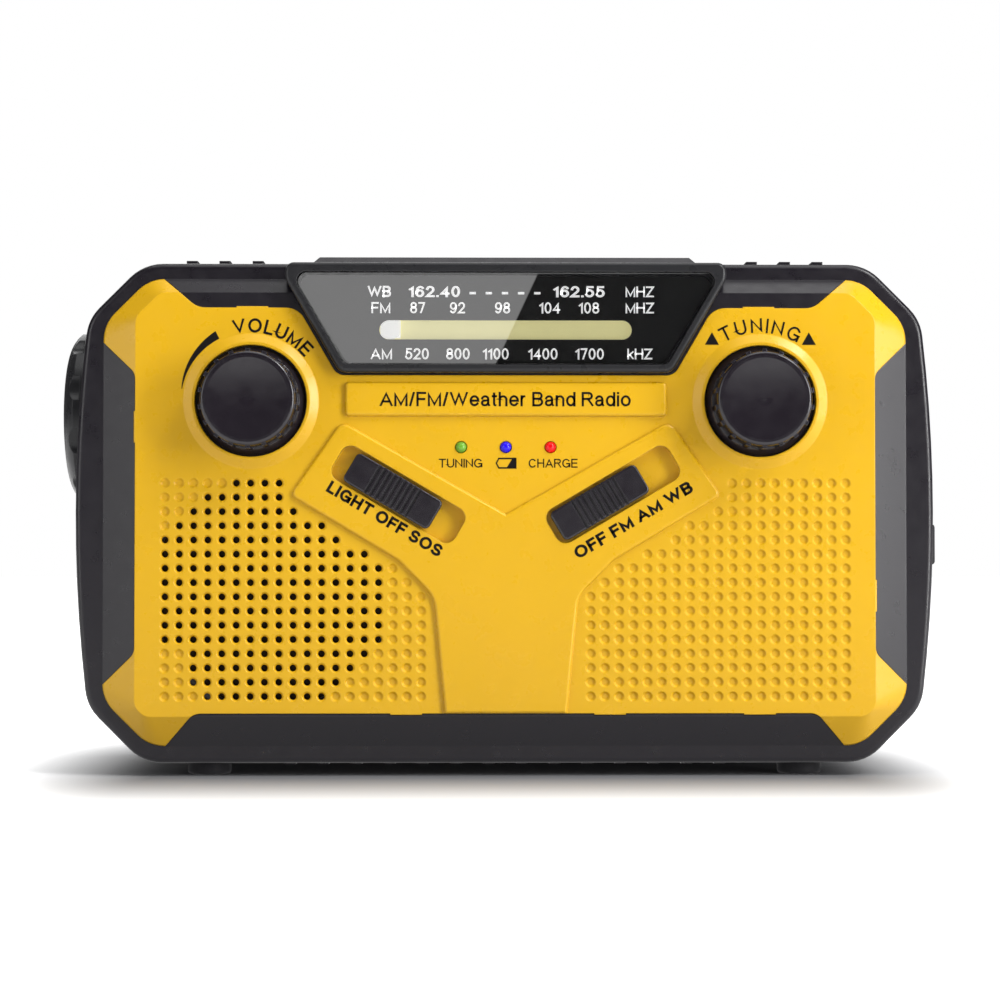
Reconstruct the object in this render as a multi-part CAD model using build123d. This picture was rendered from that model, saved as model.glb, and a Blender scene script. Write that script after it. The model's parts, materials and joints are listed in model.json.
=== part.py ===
from build123d import *

import os
from math import cos, pi, radians, sin

# Hand-crank emergency radio. Millimetres, +X right, +Z up, the front faces -Y.
# While drawing, x = 0 is the centre plane of the casing, y = 0 the parting plane of its two halves and
# z = 0 the floor under the feet. The parts are exported about the centre of the overall footprint.

# ---- Casing ----
FACE_Y = -30.0                # front of the yellow cover
REAR_Y = 30.0                 # back of the casing
COVER_PROUD = 0.25            # the cover stands this far in front of the black plateau
COVER_SKIN = 1.6              # thickness of the cover
RIM_DROP = 3.5                # height of the plateau above the rim around it
WALL = 2.2
TOP_Z = 98.2
BOTTOM_Z = 2.5
MID_HALF_WIDTH = 82.3         # half width at the middle of the bulging sides
SIDE_HALF_WIDTH = 80.0        # half width where the sides meet the corner chamfers
TOP_CHAMFER_SUM = 167.6       # x + z along the upper corner chamfers
BOTTOM_CHAMFER_DIFF = 66.7    # x - z along the lower corner chamfers
OUTER_CORNER_R = 9.0
RIM_EDGE_R = 1.2
REAR_EDGE_R = 3.0
TOP_RIB_XS, RIB_WIDTH, RIB_PROUD = (47.7, 54.1, 60.4), 2.1, 0.8
BOTTOM_RIBS, RIB_PITCH = 14, 6.35
RIB_FRONT_Y, TOP_RIB_BACK_Y, BOTTOM_RIB_BACK_Y = -23.0, 17.0, 23.0
PLATEAU_Y = FACE_Y + COVER_PROUD
RIM_Y = PLATEAU_Y + RIM_DROP
COVER_BACK_Y = FACE_Y + COVER_SKIN
FRONT_WALL_BACK_Y = COVER_BACK_Y + 2.0

# Foot of the bevel around the plateau, and its top edge
FOOT_HALF_WIDTH, FOOT_BOTTOM, FOOT_TOP = 76.9, 5.8, 95.1
FOOT_TOP_SUM, FOOT_BOTTOM_DIFF, FOOT_CORNER_R = 163.3, 62.2, 7.4
FLAT_HALF_WIDTH, FLAT_BOTTOM, FLAT_TOP = 70.4, 11.6, 92.2
FLAT_TOP_SUM, FLAT_BOTTOM_DIFF, FLAT_CORNER_R = 157.9, 56.9, 3.0

# ---- Yellow cover ----
COVER_TOP, COVER_BOTTOM = 89.3, 12.2
NOTCH_GAP = 0.7                # between the slanting sides of the dial's frame and the cover
TAB_TOP_X, TAB_BOTTOM_X, TAB_BOTTOM_FOOT_X = 58.6, 59.2, 64.9     # inner ends of the corner tabs
TAB_UPPER_Z, TAB_LOWER_Z = 76.8, 23.6                             # where the corner tabs leave the sides
TAB_SLOPE = (6.8, 6.1)         # run and rise of the corner tabs' slanting ends
SNAP_TABS_TOP_X, SNAP_TABS_BOTTOM_X = (-48.2, 48.2), (-18.9, 19.8, 48.3)
SNAP_TABS_SIDE_Z = (66.6, 34.5)                                   # on the left and on the right
RELIEF = 0.8                  # height of the raised Y field and title plate
RELIEF_EDGE_R = 0.6
TITLE_HALF_WIDTH, TITLE_BOTTOM, TITLE_TOP = 30.6, 68.6, 75.1
SNAP_TAB_LENGTH, SNAP_TAB_PROUD = 6.0, 0.25

# ---- Grille ----
GRID_PITCH = 2.7
GRID_EDGE_X, GRID_TOP_Z = 64.7, 55.9
DIMPLE_R, DIMPLE_FLOOR_R, DIMPLE_DEPTH = 0.95, 0.6, 0.4
SOUND_HOLE_R = 0.65
GRID_COLUMNS = [9, 9, 10, 12, 13, 15, 17, 18] + [19] * 8
SOUND_COLUMNS = [(5, 8), (3, 8), (2, 9), (1, 11), (0, 12), (0, 14)] + [(0, 15)] * 6
SOUND_COLUMNS += [(2, 14), (2, 13), (2, 12), (3, 11)]

# ---- Knobs ----
KNOB_X, KNOB_Z = 48.4, 71.5
KNOB_R, KNOB_HEIGHT = 8.9, 8.8
KNOB_SKIRT_R, KNOB_SKIRT_TOP_R, KNOB_SKIRT_TOP, KNOB_BACK = 10.3, 9.2, 1.3, -0.9
KNOB_RIBS, KNOB_RIB_WIDTH, KNOB_RIB_PROUD = 18, 0.9, 0.45
KNOB_DISH_DEPTH = 0.4
KNOB_RECESS_R, KNOB_RIM_R, KNOB_CREST_R, KNOB_RIM_HEIGHT = 10.65, 12.9, 11.2, 0.95
SHAFT_R = 3.0
RUNNING_GAP = 0.05            # radial clearance of a turning fit

# ---- Slide switches ----
SWITCH_X, SWITCH_Z, SWITCH_ANGLE = 20.4, 53.75, 30.6
SWITCH_RECESS = (27.0, 7.3, 2.1)      # length, width, corner radius
SWITCH_FLOOR_Y = FACE_Y + 1.0
CAP_LENGTH, CAP_WIDTH, CAP_CORNER_R = 18.8, 6.2, 1.0
CAP_FRONT_Y = FACE_Y - 1.6
CAP_RIBS, CAP_RIB_PITCH = 8, 1.1
STEM_LENGTH, STEM_WIDTH = 3.0, 2.0
LIGHT_MIDDLE = -1.2           # the middle position, measured along the recess from its centre
BAND_TRAVEL = 6.0             # from the first to the fourth position
SWITCH_BODY = (16.0, 7.0, 5.2)

# ---- Indicator lamps ----
LED_X, LED_Z, LED_R = 8.5, 62.75, 1.1

# ---- Dial ----
BEZEL_FRONT_Y = FACE_Y - 2.2
BEZEL_TOP, BEZEL_BEND, BEZEL_BOTTOM, BEZEL_HALF_WIDTH = 97.8, 94.6, 76.8, 41.9
BEZEL_EDGE_R = 0.8
BEZEL_SEAT_Y = -27.4
BEZEL_LEDGE = 3.0
WINDOW_TOP, WINDOW_BOTTOM, WINDOW_TOP_HALF_WIDTH = 96.0, 78.3, 41.0
WINDOW_CORNER_R, WINDOW_LEDGE, LEDGE_THICKNESS = 1.8, 0.5, 1.0
DIAL_SLOPE = 0.58             # sideways run of the slanted ends per unit of height
WINDOW_RECESS, WINDOW_THICKNESS = 0.9, 1.2
SLOT_Z, SLOT_HALF_LENGTH, SLOT_HEIGHT = 85.2, 24.1, 3.7
POINTER_REST_X, POINTER_TRAVEL = -22.0, 44.0
POINTER_WIDTH, POINTER_HEIGHT = 3.8, 3.4
DRUM_R = POINTER_TRAVEL / pi  # half a turn of the drum moves the pointer from end to end
CORD_R, CORD_Y = 0.3, -23.6
PLATE_BACK_Y = BEZEL_FRONT_Y + WINDOW_RECESS + WINDOW_THICKNESS + LEDGE_THICKNESS + 0.8
IDLER_X, IDLER_R = -38.0, 3.0

# ---- Torch on the left side ----
TORCH_Z, TORCH_SEAT_X, TORCH_END_X = 69.8, -82.3, -86.6
TORCH_R, TORCH_BARREL_R, TORCH_OPENING_R, TORCH_LENS_R = 17.0, 13.1, 11.8, 12.45
TORCH_SKIRT = 2.0                      # height of the straight foot of the ring's side
TORCH_SHOULDER = (15.4, 3.45)          # radius and height of the middle of the rounded part above it
TORCH_LIP = 1.2                        # thickness of the ring in front of the lens
TORCH_BARREL_LENGTH, TORCH_LENS_THICKNESS = 9.0, 1.4
TORCH_SCALLOPS, SCALLOP_R, SCALLOP_DEPTH = 10, 5.0, 0.9
TORCH_BOSS_R, TORCH_BOSS_LENGTH, TORCH_BOSS_CORE = 15.9, 7.0, 12.0
REFLECTOR_BACK, REFLECTOR_WALL = -7.3, 0.6

# ---- Port cover on the right side ----
PORT_Z, PORT_HALF_HEIGHT = 44.0, 15.5
PORT_FRONT_Y, PORT_HINGE_Y, PORT_HINGE_X = -21.0, -4.2, 80.9
PORT_FLOOR_X, PORT_OUTER_X, PORT_TAB_X = 79.6, 81.9, 83.7
PORT_TAB_BOTTOM, PORT_TAB_TOP, PORT_GAP = 40.4, 48.3, 0.4
PORT_HINGE_R = 1.1
SOCKET_Y = -10.5
USB_Z, MICRO_Z, JACK_Z = 36.1, 47.9, 55.9
USB_SIZE, MICRO_SIZE = (6.0, 13.0), (3.6, 8.0)
JACK_R, JACK_BORE_R = 3.0, 1.8

# ---- Crank and gear train ----
CRANK_X, CRANK_Z = -28.0, 48.0
DISH_R, DISH_FLOOR_Y = 38.5, 19.5
CRANK_RADIUS = 31.5
ARM_WIDTH, ARM_FRONT_Y, ARM_BACK_Y = 14.0, 20.5, 27.5
HANDLE_Y, HANDLE_R, HANDLE_LENGTH = 24.8, 4.4, 16.5
HANDLE_PIN_R, SPINDLE_R = 1.5, 2.0
MODULE = 1.0
CRANK_TEETH, PINION_TEETH, WHEEL_TEETH = 48, 12, 36
WHEEL_FRONT_Y, PINION_FRONT_Y, GEAR_WIDTH = 7.0, 12.5, 4.0
GENERATOR_ANGLE = -60.0
GENERATOR_R = 12.0
PLATE_Y, PLATE_THICKNESS = 5.6, 1.0
POST_RADIUS = 34.0            # distance of the gear plate's posts from the crank axis

# ---- Rod antenna ----
ANTENNA_X, ANTENNA_Y, ANTENNA_Z = 62.0, 25.4, 93.0
CHANNEL_FRONT_Y, CHANNEL_FLOOR_Z = 20.5, 88.8
SECTION_LENGTH = 112.0
SECTION_RADII = [3.0, 2.5, 2.0, 1.5]
ANTENNA_STEM_R, KNUCKLE_R, KNUCKLE_WIDTH, TUBE_START = 2.0, 2.9, 3.0, 3.7

# ---- Batteries ----
CELL_R, CELL_LENGTH, CELL_PITCH = 5.25, 44.5, 11.5
CELL_X, CELL_Y, CELL_Z = 50.0, 20.5, 34.5
BAY_X0, BAY_X1, BAY_Z0, BAY_Z1 = 24.0, 76.0, 16.8, 52.2
BAY_FRONT_Y = 14.0
DOOR_THICKNESS = 2.0

# ---- Solar panel, screws, feet ----
SOLAR_HALF_WIDTH, SOLAR_HALF_DEPTH, SOLAR_TOP = 37.3, 17.0, 100.6
SOLAR_BORDER, SOLAR_EDGE, SOLAR_POCKET, SOLAR_CELL_THICKNESS = 3.4, 1.1, 1.2, 0.6
SCREW_PLACES = [(-66.0, 12.0), (66.0, 12.0), (-63.0, 85.0), (63.0, 85.0)]
SCREW_R, SCREW_HEAD_R = 1.35, 2.6
FOOT_X, FOOT_R = 57.2, 4.2
FOOT_PLACES_Y = (-18.0, 20.0)

# ---- Speaker and circuit board ----
SPEAKER_X, SPEAKER_Z, SPEAKER_R, SPEAKER_OPENING_R = -44.45, 35.65, 23.9, 22.6
BOARD_FRONT_Y, BOARD_THICKNESS = -4.6, 1.6
BOARD_CORNERS = [(-60, 80), (72, 80), (72, 18), (-14, 18), (-14, 62), (-60, 62)]


# ---- Drawing helpers ----
def rod(radius, start, end):
    """A cylinder along local z from start to end."""
    return Pos(0, 0, start) * Cylinder(radius, end - start, align=(Align.CENTER, Align.CENTER, Align.MIN))


def tube(outer, inner, start, end):
    return rod(outer, start, end) - rod(inner, start - 1, end + 1)


def turned(points):
    """A solid of revolution about local z from (radius, z) points."""
    profile = make_face(Polyline(*[(r, 0, z) for r, z in points], close=True))
    return revolve(profile, axis=Axis.Z)


def block(x0, x1, y0, y1, z0, z1):
    return Pos((x0 + x1) / 2, (y0 + y1) / 2, (z0 + z1) / 2) * Box(x1 - x0, y1 - y0, z1 - z0)


def at_front(x, z, y=FACE_Y):
    """Local z points out of the front of the radio, local y points up."""
    return Pos(x, y, z) * Rot(90, 0, 0)


def at_left(x, y, z):
    """Local z points out of the left side of the radio."""
    return Pos(x, y, z) * Rot(0, -90, 0)


def along_x(x, y, z):
    """Local z points to the right."""
    return Pos(x, y, z) * Rot(0, 90, 0)


def slab(sketch, front_y, back_y):
    """A sketch drawn in x and z, given a thickness from front_y to back_y."""
    plane = Plane(origin=(0, back_y, 0), x_dir=(1, 0, 0), z_dir=(0, -1, 0))
    return extrude(plane * sketch, amount=back_y - front_y)


def mirrored(right_half):
    """A closed outline from its right half, listed from top to bottom."""
    left_half = [(-x, z) for x, z in reversed(right_half) if x > 0]
    return make_face(Polyline(*right_half, *left_half, close=True))


def rounded(sketch, corners):
    """Round the corners at (+-x, z) of a sketch."""
    for x, z, radius in corners:
        near = [v for v in sketch.vertices() if abs(abs(v.X) - x) < 0.02 and abs(v.Y - z) < 0.02]
        sketch = fillet(near, radius)
    return sketch


# ---- Casing ----
def casing_outline(inset=0.0):
    """The casing's outline: flat top and bottom, 45 degree corners and slightly bulging sides."""
    side_x = SIDE_HALF_WIDTH
    top_corner_z = TOP_CHAMFER_SUM - side_x
    bottom_corner_z = side_x - BOTTOM_CHAMFER_DIFF
    middle_z = (top_corner_z + bottom_corner_z) / 2
    top_x = TOP_CHAMFER_SUM - TOP_Z
    bottom_x = BOTTOM_CHAMFER_DIFF + BOTTOM_Z
    edges = [
        Line((-top_x, TOP_Z), (top_x, TOP_Z)),
        Line((top_x, TOP_Z), (side_x, top_corner_z)),
        ThreePointArc((side_x, top_corner_z), (MID_HALF_WIDTH, middle_z), (side_x, bottom_corner_z)),
        Line((side_x, bottom_corner_z), (bottom_x, BOTTOM_Z)),
        Line((bottom_x, BOTTOM_Z), (-bottom_x, BOTTOM_Z)),
        Line((-bottom_x, BOTTOM_Z), (-side_x, bottom_corner_z)),
        ThreePointArc((-side_x, bottom_corner_z), (-MID_HALF_WIDTH, middle_z), (-side_x, top_corner_z)),
        Line((-side_x, top_corner_z), (-top_x, TOP_Z)),
    ]
    outline = make_face(Wire(edges))
    outline = fillet(outline.vertices(), OUTER_CORNER_R)
    if inset:
        outline = offset(outline, amount=-inset)
    return outline


def chamfered_outline(half_width, bottom, top, top_sum, bottom_diff, corner):
    outline = mirrored([
        (top_sum - top, top),
        (half_width, top_sum - half_width),
        (half_width, half_width - bottom_diff),
        (bottom_diff + bottom, bottom),
    ])
    return fillet(outline.vertices(), corner)


def foot_outline():
    return chamfered_outline(
        FOOT_HALF_WIDTH, FOOT_BOTTOM, FOOT_TOP, FOOT_TOP_SUM, FOOT_BOTTOM_DIFF, FOOT_CORNER_R
    )


def flat_outline():
    return chamfered_outline(
        FLAT_HALF_WIDTH, FLAT_BOTTOM, FLAT_TOP, FLAT_TOP_SUM, FLAT_BOTTOM_DIFF, FLAT_CORNER_R
    )


def plateau(front_y):
    """The raised middle of the front, with its bevel all round, for a given front face."""
    front_plane = Plane(origin=(0, front_y, 0), x_dir=(1, 0, 0), z_dir=(0, -1, 0))
    foot_plane = Plane(origin=(0, front_y + RIM_DROP, 0), x_dir=(1, 0, 0), z_dir=(0, -1, 0))
    return loft([foot_plane * foot_outline(), front_plane * flat_outline()], ruled=True)


def cover_outline():
    """The yellow cover from the front: four corner tabs and a notch for the dial."""
    past_x, past_top, past_bottom = FOOT_HALF_WIDTH + 4, FOOT_TOP + 3, FOOT_BOTTOM - 3
    tab_run, tab_rise = TAB_SLOPE
    outline = mirrored([
        (TAB_TOP_X, COVER_TOP),
        (TAB_TOP_X + tab_run, FOOT_TOP),
        (TAB_TOP_X + tab_run, past_top),
        (past_x, past_top),
        (past_x, TAB_UPPER_Z + tab_rise),
        (FOOT_HALF_WIDTH, TAB_UPPER_Z + tab_rise),
        (FLAT_HALF_WIDTH, TAB_UPPER_Z),
        (FLAT_HALF_WIDTH, TAB_LOWER_Z),
        (FOOT_HALF_WIDTH, TAB_LOWER_Z - tab_rise),
        (past_x, TAB_LOWER_Z - tab_rise),
        (past_x, past_bottom),
        (TAB_BOTTOM_FOOT_X, past_bottom),
        (TAB_BOTTOM_FOOT_X, FOOT_BOTTOM),
        (TAB_BOTTOM_X, COVER_BOTTOM),
    ])
    outline = rounded(outline, [
        (TAB_TOP_X, COVER_TOP, 4.0),
        (TAB_BOTTOM_X, COVER_BOTTOM, 3.0),
        (FLAT_HALF_WIDTH, TAB_UPPER_Z, 2.5),
        (FLAT_HALF_WIDTH, TAB_LOWER_Z, 2.5),
    ])
    notch_top_x = bezel_half_width(COVER_TOP) + NOTCH_GAP
    notch_bottom = BEZEL_BOTTOM - NOTCH_GAP / 2
    notch_bottom_x = bezel_half_width(notch_bottom) + NOTCH_GAP
    above = COVER_TOP + 1
    notch = mirrored([
        (bezel_half_width(above) + NOTCH_GAP, above),
        (notch_bottom_x, notch_bottom),
    ])
    notch = rounded(notch, [(notch_bottom_x, notch_bottom, 2.5)])
    return rounded(outline - notch, [(notch_top_x, COVER_TOP, 4.0)])


def snap_tabs():
    """Short steps on the edge of the cover where it clips into the housing."""
    tabs = []
    for x in SNAP_TABS_TOP_X:
        tabs.append(Pos(x, COVER_TOP) * Rectangle(SNAP_TAB_LENGTH, 2 * SNAP_TAB_PROUD))
    for x in SNAP_TABS_BOTTOM_X:
        tabs.append(Pos(x, COVER_BOTTOM) * Rectangle(SNAP_TAB_LENGTH, 2 * SNAP_TAB_PROUD))
    for x, z in zip((-FLAT_HALF_WIDTH, FLAT_HALF_WIDTH), SNAP_TABS_SIDE_Z):
        tabs.append(Pos(x, z) * Rectangle(2 * SNAP_TAB_PROUD, SNAP_TAB_LENGTH))
    return tabs


def y_field():
    """The raised Y-shaped field that carries the switches."""
    outline = mirrored([
        (0.0, 50.0),
        (31.2, 67.7),
        (41.0, 53.6),
        (20.4, 41.2),
        (13.7, 34.3),
        (11.6, COVER_BOTTOM),
    ])
    corners = [(31.2, 67.7, 2.0), (41.0, 53.6, 1.2), (20.4, 41.2, 6.0), (13.7, 34.3, 6.0)]
    return rounded(outline, corners)


def relief(sketch):
    """A low raised field on the cover, with its front edge rounded."""
    body = slab(sketch, FACE_Y - RELIEF, FACE_Y + RELIEF)
    front = body.faces().sort_by(Axis.Y)[0]
    return fillet(front.edges(), RELIEF_EDGE_R)


def grid_places():
    """(x, z) of every dimple, and of every dimple that is a sound hole."""
    dimples = []
    sound_holes = []
    for row, count in enumerate(GRID_COLUMNS):
        z = GRID_TOP_Z - GRID_PITCH * row
        first, last = SOUND_COLUMNS[row]
        for column in range(count):
            x = GRID_EDGE_X - GRID_PITCH * column
            dimples.append((-x, z))
            dimples.append((x, z))
            if first <= column <= last:
                sound_holes.append((-x, z))
    return dimples, sound_holes


def switch_place(side):
    """side is -1 for the light switch on the left and 1 for the band switch on the right."""
    return at_front(side * SWITCH_X, SWITCH_Z) * Rot(0, 0, side * SWITCH_ANGLE)


def front_cover():
    skin = plateau(FACE_Y) - Pos(0, COVER_SKIN, 0) * plateau(FACE_Y)
    outline = cover_outline()
    for tab in snap_tabs():
        outline += tab
    cover = skin & slab(outline, FACE_Y - 1, FACE_Y + RIM_DROP + COVER_SKIN + 1)
    title = RectangleRounded(2 * TITLE_HALF_WIDTH, TITLE_TOP - TITLE_BOTTOM, 0.8)
    cover += relief(Pos(0, (TITLE_TOP + TITLE_BOTTOM) / 2) * title)
    cover += relief(y_field())
    for side in (-1, 1):
        rim = turned([
            (0, -0.5), (KNOB_RIM_R, -0.5), (KNOB_RIM_R, 0),
            (KNOB_CREST_R, KNOB_RIM_HEIGHT), (0, KNOB_RIM_HEIGHT),
        ])
        cover += at_front(side * KNOB_X, KNOB_Z) * rim
    cutters = [at_front(side * KNOB_X, KNOB_Z) * rod(KNOB_RECESS_R, -5, 5) for side in (-1, 1)]
    length, width, corner = SWITCH_RECESS
    floor = FACE_Y - SWITCH_FLOOR_Y
    for side in (-1, 1):
        recess = Pos(0, 0, floor) * extrude(RectangleRounded(length, width, corner), amount=5)
        stem_slot = Box(BAND_TRAVEL + STEM_LENGTH + 0.6, STEM_WIDTH + 0.4, 20)
        cutters.append(switch_place(side) * recess)
        cutters.append(switch_place(side) * stem_slot)
    for index in (-1, 0, 1):
        cutters.append(at_front(index * LED_X, LED_Z) * rod(LED_R + RUNNING_GAP, -5, 5))
    dimples, sound_holes = grid_places()
    dimple = Pos(0, 0, -DIMPLE_DEPTH) * Cone(
        DIMPLE_FLOOR_R, DIMPLE_R, DIMPLE_DEPTH, align=(Align.CENTER, Align.CENTER, Align.MIN)
    )
    cutters += [at_front(x, z) * dimple for x, z in dimples]
    cutters += [at_front(x, z) * rod(SOUND_HOLE_R, -3, 1) for x, z in sound_holes]
    return cover.cut(*cutters)


# ---- Dial bezel and housings ----
def bezel_half_width(z):
    """Half width of the bezel at a height on its slanting sides."""
    return BEZEL_HALF_WIDTH - DIAL_SLOPE * (BEZEL_BEND - z)


def bezel_outline():
    """The dial's frame from the front: upright at the top, then slanting inwards."""
    bottom_x = bezel_half_width(BEZEL_BOTTOM)
    outline = mirrored([
        (BEZEL_HALF_WIDTH, BEZEL_TOP),
        (BEZEL_HALF_WIDTH, BEZEL_BEND),
        (bottom_x, BEZEL_BOTTOM),
    ])
    return rounded(outline, [
        (BEZEL_HALF_WIDTH, BEZEL_TOP, 1.7),
        (BEZEL_HALF_WIDTH, BEZEL_BEND, 3.0),
        (bottom_x, BEZEL_BOTTOM, 2.5),
    ])


def window_outline(inset=0.0):
    top_x = WINDOW_TOP_HALF_WIDTH
    bottom_x = top_x - DIAL_SLOPE * (WINDOW_TOP - WINDOW_BOTTOM)
    outline = mirrored([
        (top_x - inset, WINDOW_TOP - inset),
        (bottom_x - inset, WINDOW_BOTTOM + inset),
    ])
    return fillet(outline.vertices(), WINDOW_CORNER_R)


def bezel_body():
    """The bezel without its window opening; its top strip reaches back to the rim of the casing."""
    body = slab(bezel_outline(), BEZEL_FRONT_Y, BEZEL_SEAT_Y)
    body = fillet(body.faces().sort_by(Axis.Y)[0].edges(), BEZEL_EDGE_R)
    strip = Pos(0, (FOOT_TOP + BEZEL_TOP) / 2) * Rectangle(4 * BEZEL_HALF_WIDTH, BEZEL_TOP - FOOT_TOP)
    return body + slab(bezel_outline() & strip, BEZEL_SEAT_Y - 1, RIM_Y)


def dial_bezel():
    body = bezel_body()
    window_back = BEZEL_FRONT_Y + WINDOW_RECESS + WINDOW_THICKNESS
    body -= slab(window_outline(), BEZEL_FRONT_Y - 1, window_back)
    body -= slab(window_outline(WINDOW_LEDGE), BEZEL_FRONT_Y, BEZEL_SEAT_Y + 1)
    return body - slab(window_outline(), window_back + LEDGE_THICKNESS, BEZEL_SEAT_Y + 1)


def screw_bosses(radius, front_y, back_y):
    return [at_front(x, z, back_y) * rod(radius, 0, back_y - front_y) for x, z in SCREW_PLACES]


def top_ribs(front_y, back_y):
    ribs = []
    for side in (-1, 1):
        for x in TOP_RIB_XS:
            rib = Box(RIB_WIDTH, back_y - front_y, 2 * RIB_PROUD)
            ribs.append(Pos(side * x, (front_y + back_y) / 2, TOP_Z) * rib)
    return ribs


def bottom_ribs(front_y, back_y):
    ribs = []
    for index in range(BOTTOM_RIBS):
        x = RIB_PITCH * (index - (BOTTOM_RIBS - 1) / 2)
        ribs.append(Pos(x, (front_y + back_y) / 2, BOTTOM_Z) * Box(RIB_WIDTH, back_y - front_y, RIB_PROUD))
    return ribs


def torch_boss(length=TORCH_BOSS_LENGTH):
    """A round seat on the left side for the torch's ring."""
    return at_left(TORCH_SEAT_X + TORCH_BOSS_LENGTH, 0, TORCH_Z) * rod(TORCH_BOSS_R, 0, length)


def torch_bore():
    return at_left(0, 0, TORCH_Z) * rod(TORCH_BARREL_R, 60, 100)


def half_space(front_y, back_y):
    return block(-120, 120, front_y, back_y, -20, 130)


def port_recess():
    top = PORT_Z + PORT_HALF_HEIGHT + PORT_GAP
    bottom = PORT_Z - PORT_HALF_HEIGHT - PORT_GAP
    back_y = PORT_HINGE_Y + PORT_HINGE_R + PORT_GAP
    return block(PORT_FLOOR_X, PORT_TAB_X + 1, PORT_FRONT_Y - PORT_GAP, back_y, bottom, top)


def front_housing():
    body = slab(casing_outline(), RIM_Y, 0)
    body = fillet(body.faces().sort_by(Axis.Y)[0].edges(), RIM_EDGE_R)
    body += plateau(PLATEAU_Y)
    for rib in top_ribs(RIB_FRONT_Y, 0) + bottom_ribs(RIB_FRONT_Y, 0):
        body += rib
    body += torch_boss() & half_space(-40, 0)
    cavity = slab(casing_outline(WALL), RIM_Y + WALL, 1)
    cavity += slab(offset(flat_outline(), amount=0.5), FRONT_WALL_BACK_Y, 1)
    cavity -= torch_boss(TORCH_BOSS_CORE)
    cavity -= block(PORT_FLOOR_X - WALL, 90, PORT_FRONT_Y - 3, -1, 26, 62)
    for boss in screw_bosses(3.2, FRONT_WALL_BACK_Y - 0.5, 0):
        cavity -= boss
    body -= cavity
    # the cover sits in a pocket of its own shape
    outline = cover_outline()
    for tab in snap_tabs():
        outline += tab
    body -= slab(outline, FACE_Y - 3, FACE_Y + RIM_DROP) - Pos(0, COVER_SKIN, 0) * plateau(FACE_Y)
    # the bezel stands in a pocket round the dial opening
    body -= bezel_body()
    body -= slab(offset(bezel_outline(), amount=-BEZEL_LEDGE), -40, -20)
    cutters = [torch_bore(), port_recess()]
    for side in (-1, 1):
        cutters.append(at_front(side * KNOB_X, KNOB_Z) * rod(SHAFT_R + RUNNING_GAP, -8, 2))
        cutters.append(switch_place(side) * Box(BAND_TRAVEL + STEM_LENGTH + 1, STEM_WIDTH + 1, 20))
    for index in (-1, 0, 1):
        cutters.append(at_front(index * LED_X, LED_Z) * rod(LED_R + RUNNING_GAP, -8, 2))
    cutters.append(at_front(SPEAKER_X, SPEAKER_Z) * rod(SPEAKER_OPENING_R, -8, 2))
    for x, z in SCREW_PLACES:
        cutters.append(at_front(x, z, 0) * rod(SCREW_R, -1, 8.0))
    cutters += socket_openings()
    return body.cut(*cutters)


def socket_openings():
    """Holes in the right side, inside the port recess, for the three sockets."""
    usb_height, micro_height = USB_SIZE[1] + 0.2, MICRO_SIZE[1] + 0.2
    usb_width, micro_width = USB_SIZE[0] + 0.2, MICRO_SIZE[0] + 0.2
    return [
        Pos(PORT_FLOOR_X, SOCKET_Y, USB_Z) * Box(10, usb_width, usb_height),
        Pos(PORT_FLOOR_X, SOCKET_Y, MICRO_Z) * Box(10, micro_width, micro_height),
        along_x(PORT_FLOOR_X - 5, SOCKET_Y, JACK_Z) * rod(JACK_R, 0, 8),
    ]


def rear_housing():
    body = slab(casing_outline(), 0, REAR_Y)
    body = fillet(body.faces().sort_by(Axis.Y)[-1].edges(), REAR_EDGE_R)
    for rib in top_ribs(0, TOP_RIB_BACK_Y) + bottom_ribs(0, BOTTOM_RIB_BACK_Y):
        body += rib
    body += torch_boss() & half_space(0, 40)
    cavity = slab(casing_outline(WALL), -1, REAR_Y - WALL)
    cavity -= torch_boss(TORCH_BOSS_CORE)
    cavity -= at_front(CRANK_X, CRANK_Z, REAR_Y) * rod(DISH_R + 2, 0, REAR_Y - DISH_FLOOR_Y + 2)
    cavity -= block(BAY_X0 - 1.5, BAY_X1 + 1.5, BAY_FRONT_Y - 1.5, REAR_Y, BAY_Z0 - 1.5, BAY_Z1 + 1.5)
    cavity -= block(-90, 90, CHANNEL_FRONT_Y - 2, REAR_Y, CHANNEL_FLOOR_Z - 2, 100)
    for boss in screw_bosses(4.2, 0, REAR_Y):
        cavity -= boss
    body -= cavity
    cutters = [torch_bore()]
    cutters.append(at_front(CRANK_X, CRANK_Z, REAR_Y + 1) * rod(DISH_R, 0, REAR_Y + 1 - DISH_FLOOR_Y))
    cutters.append(at_front(CRANK_X, CRANK_Z, REAR_Y) * rod(SHAFT_R + RUNNING_GAP, 0, 20))
    cutters.append(block(BAY_X0, BAY_X1, BAY_FRONT_Y, REAR_Y - DOOR_THICKNESS, BAY_Z0, BAY_Z1))
    door_edge = 1.2
    cutters.append(block(
        BAY_X0 - door_edge, BAY_X1 + door_edge, REAR_Y - DOOR_THICKNESS, REAR_Y + 1,
        BAY_Z0 - door_edge, BAY_Z1 + door_edge,
    ))
    cutters.append(block(-90, 90, CHANNEL_FRONT_Y, REAR_Y + 1, CHANNEL_FLOOR_Z, 100))
    cutters.append(Pos(ANTENNA_X, ANTENNA_Y, CHANNEL_FLOOR_Z) * rod(ANTENNA_STEM_R + RUNNING_GAP, -5, 5))
    for x, z in SCREW_PLACES:
        cutters.append(at_front(x, z, REAR_Y + 1) * rod(SCREW_HEAD_R + 0.2, 0, REAR_Y - 5.0))
        cutters.append(at_front(x, z, REAR_Y) * rod(SCREW_R + 0.25, 0, REAR_Y + 1))
    return body.cut(*cutters)


# ---- Dial ----
def dial_window():
    front = BEZEL_FRONT_Y + WINDOW_RECESS
    window = slab(window_outline(RUNNING_GAP), front, front + WINDOW_THICKNESS)
    return fillet(window.faces().sort_by(Axis.Y)[0].edges(), 0.25)


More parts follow.
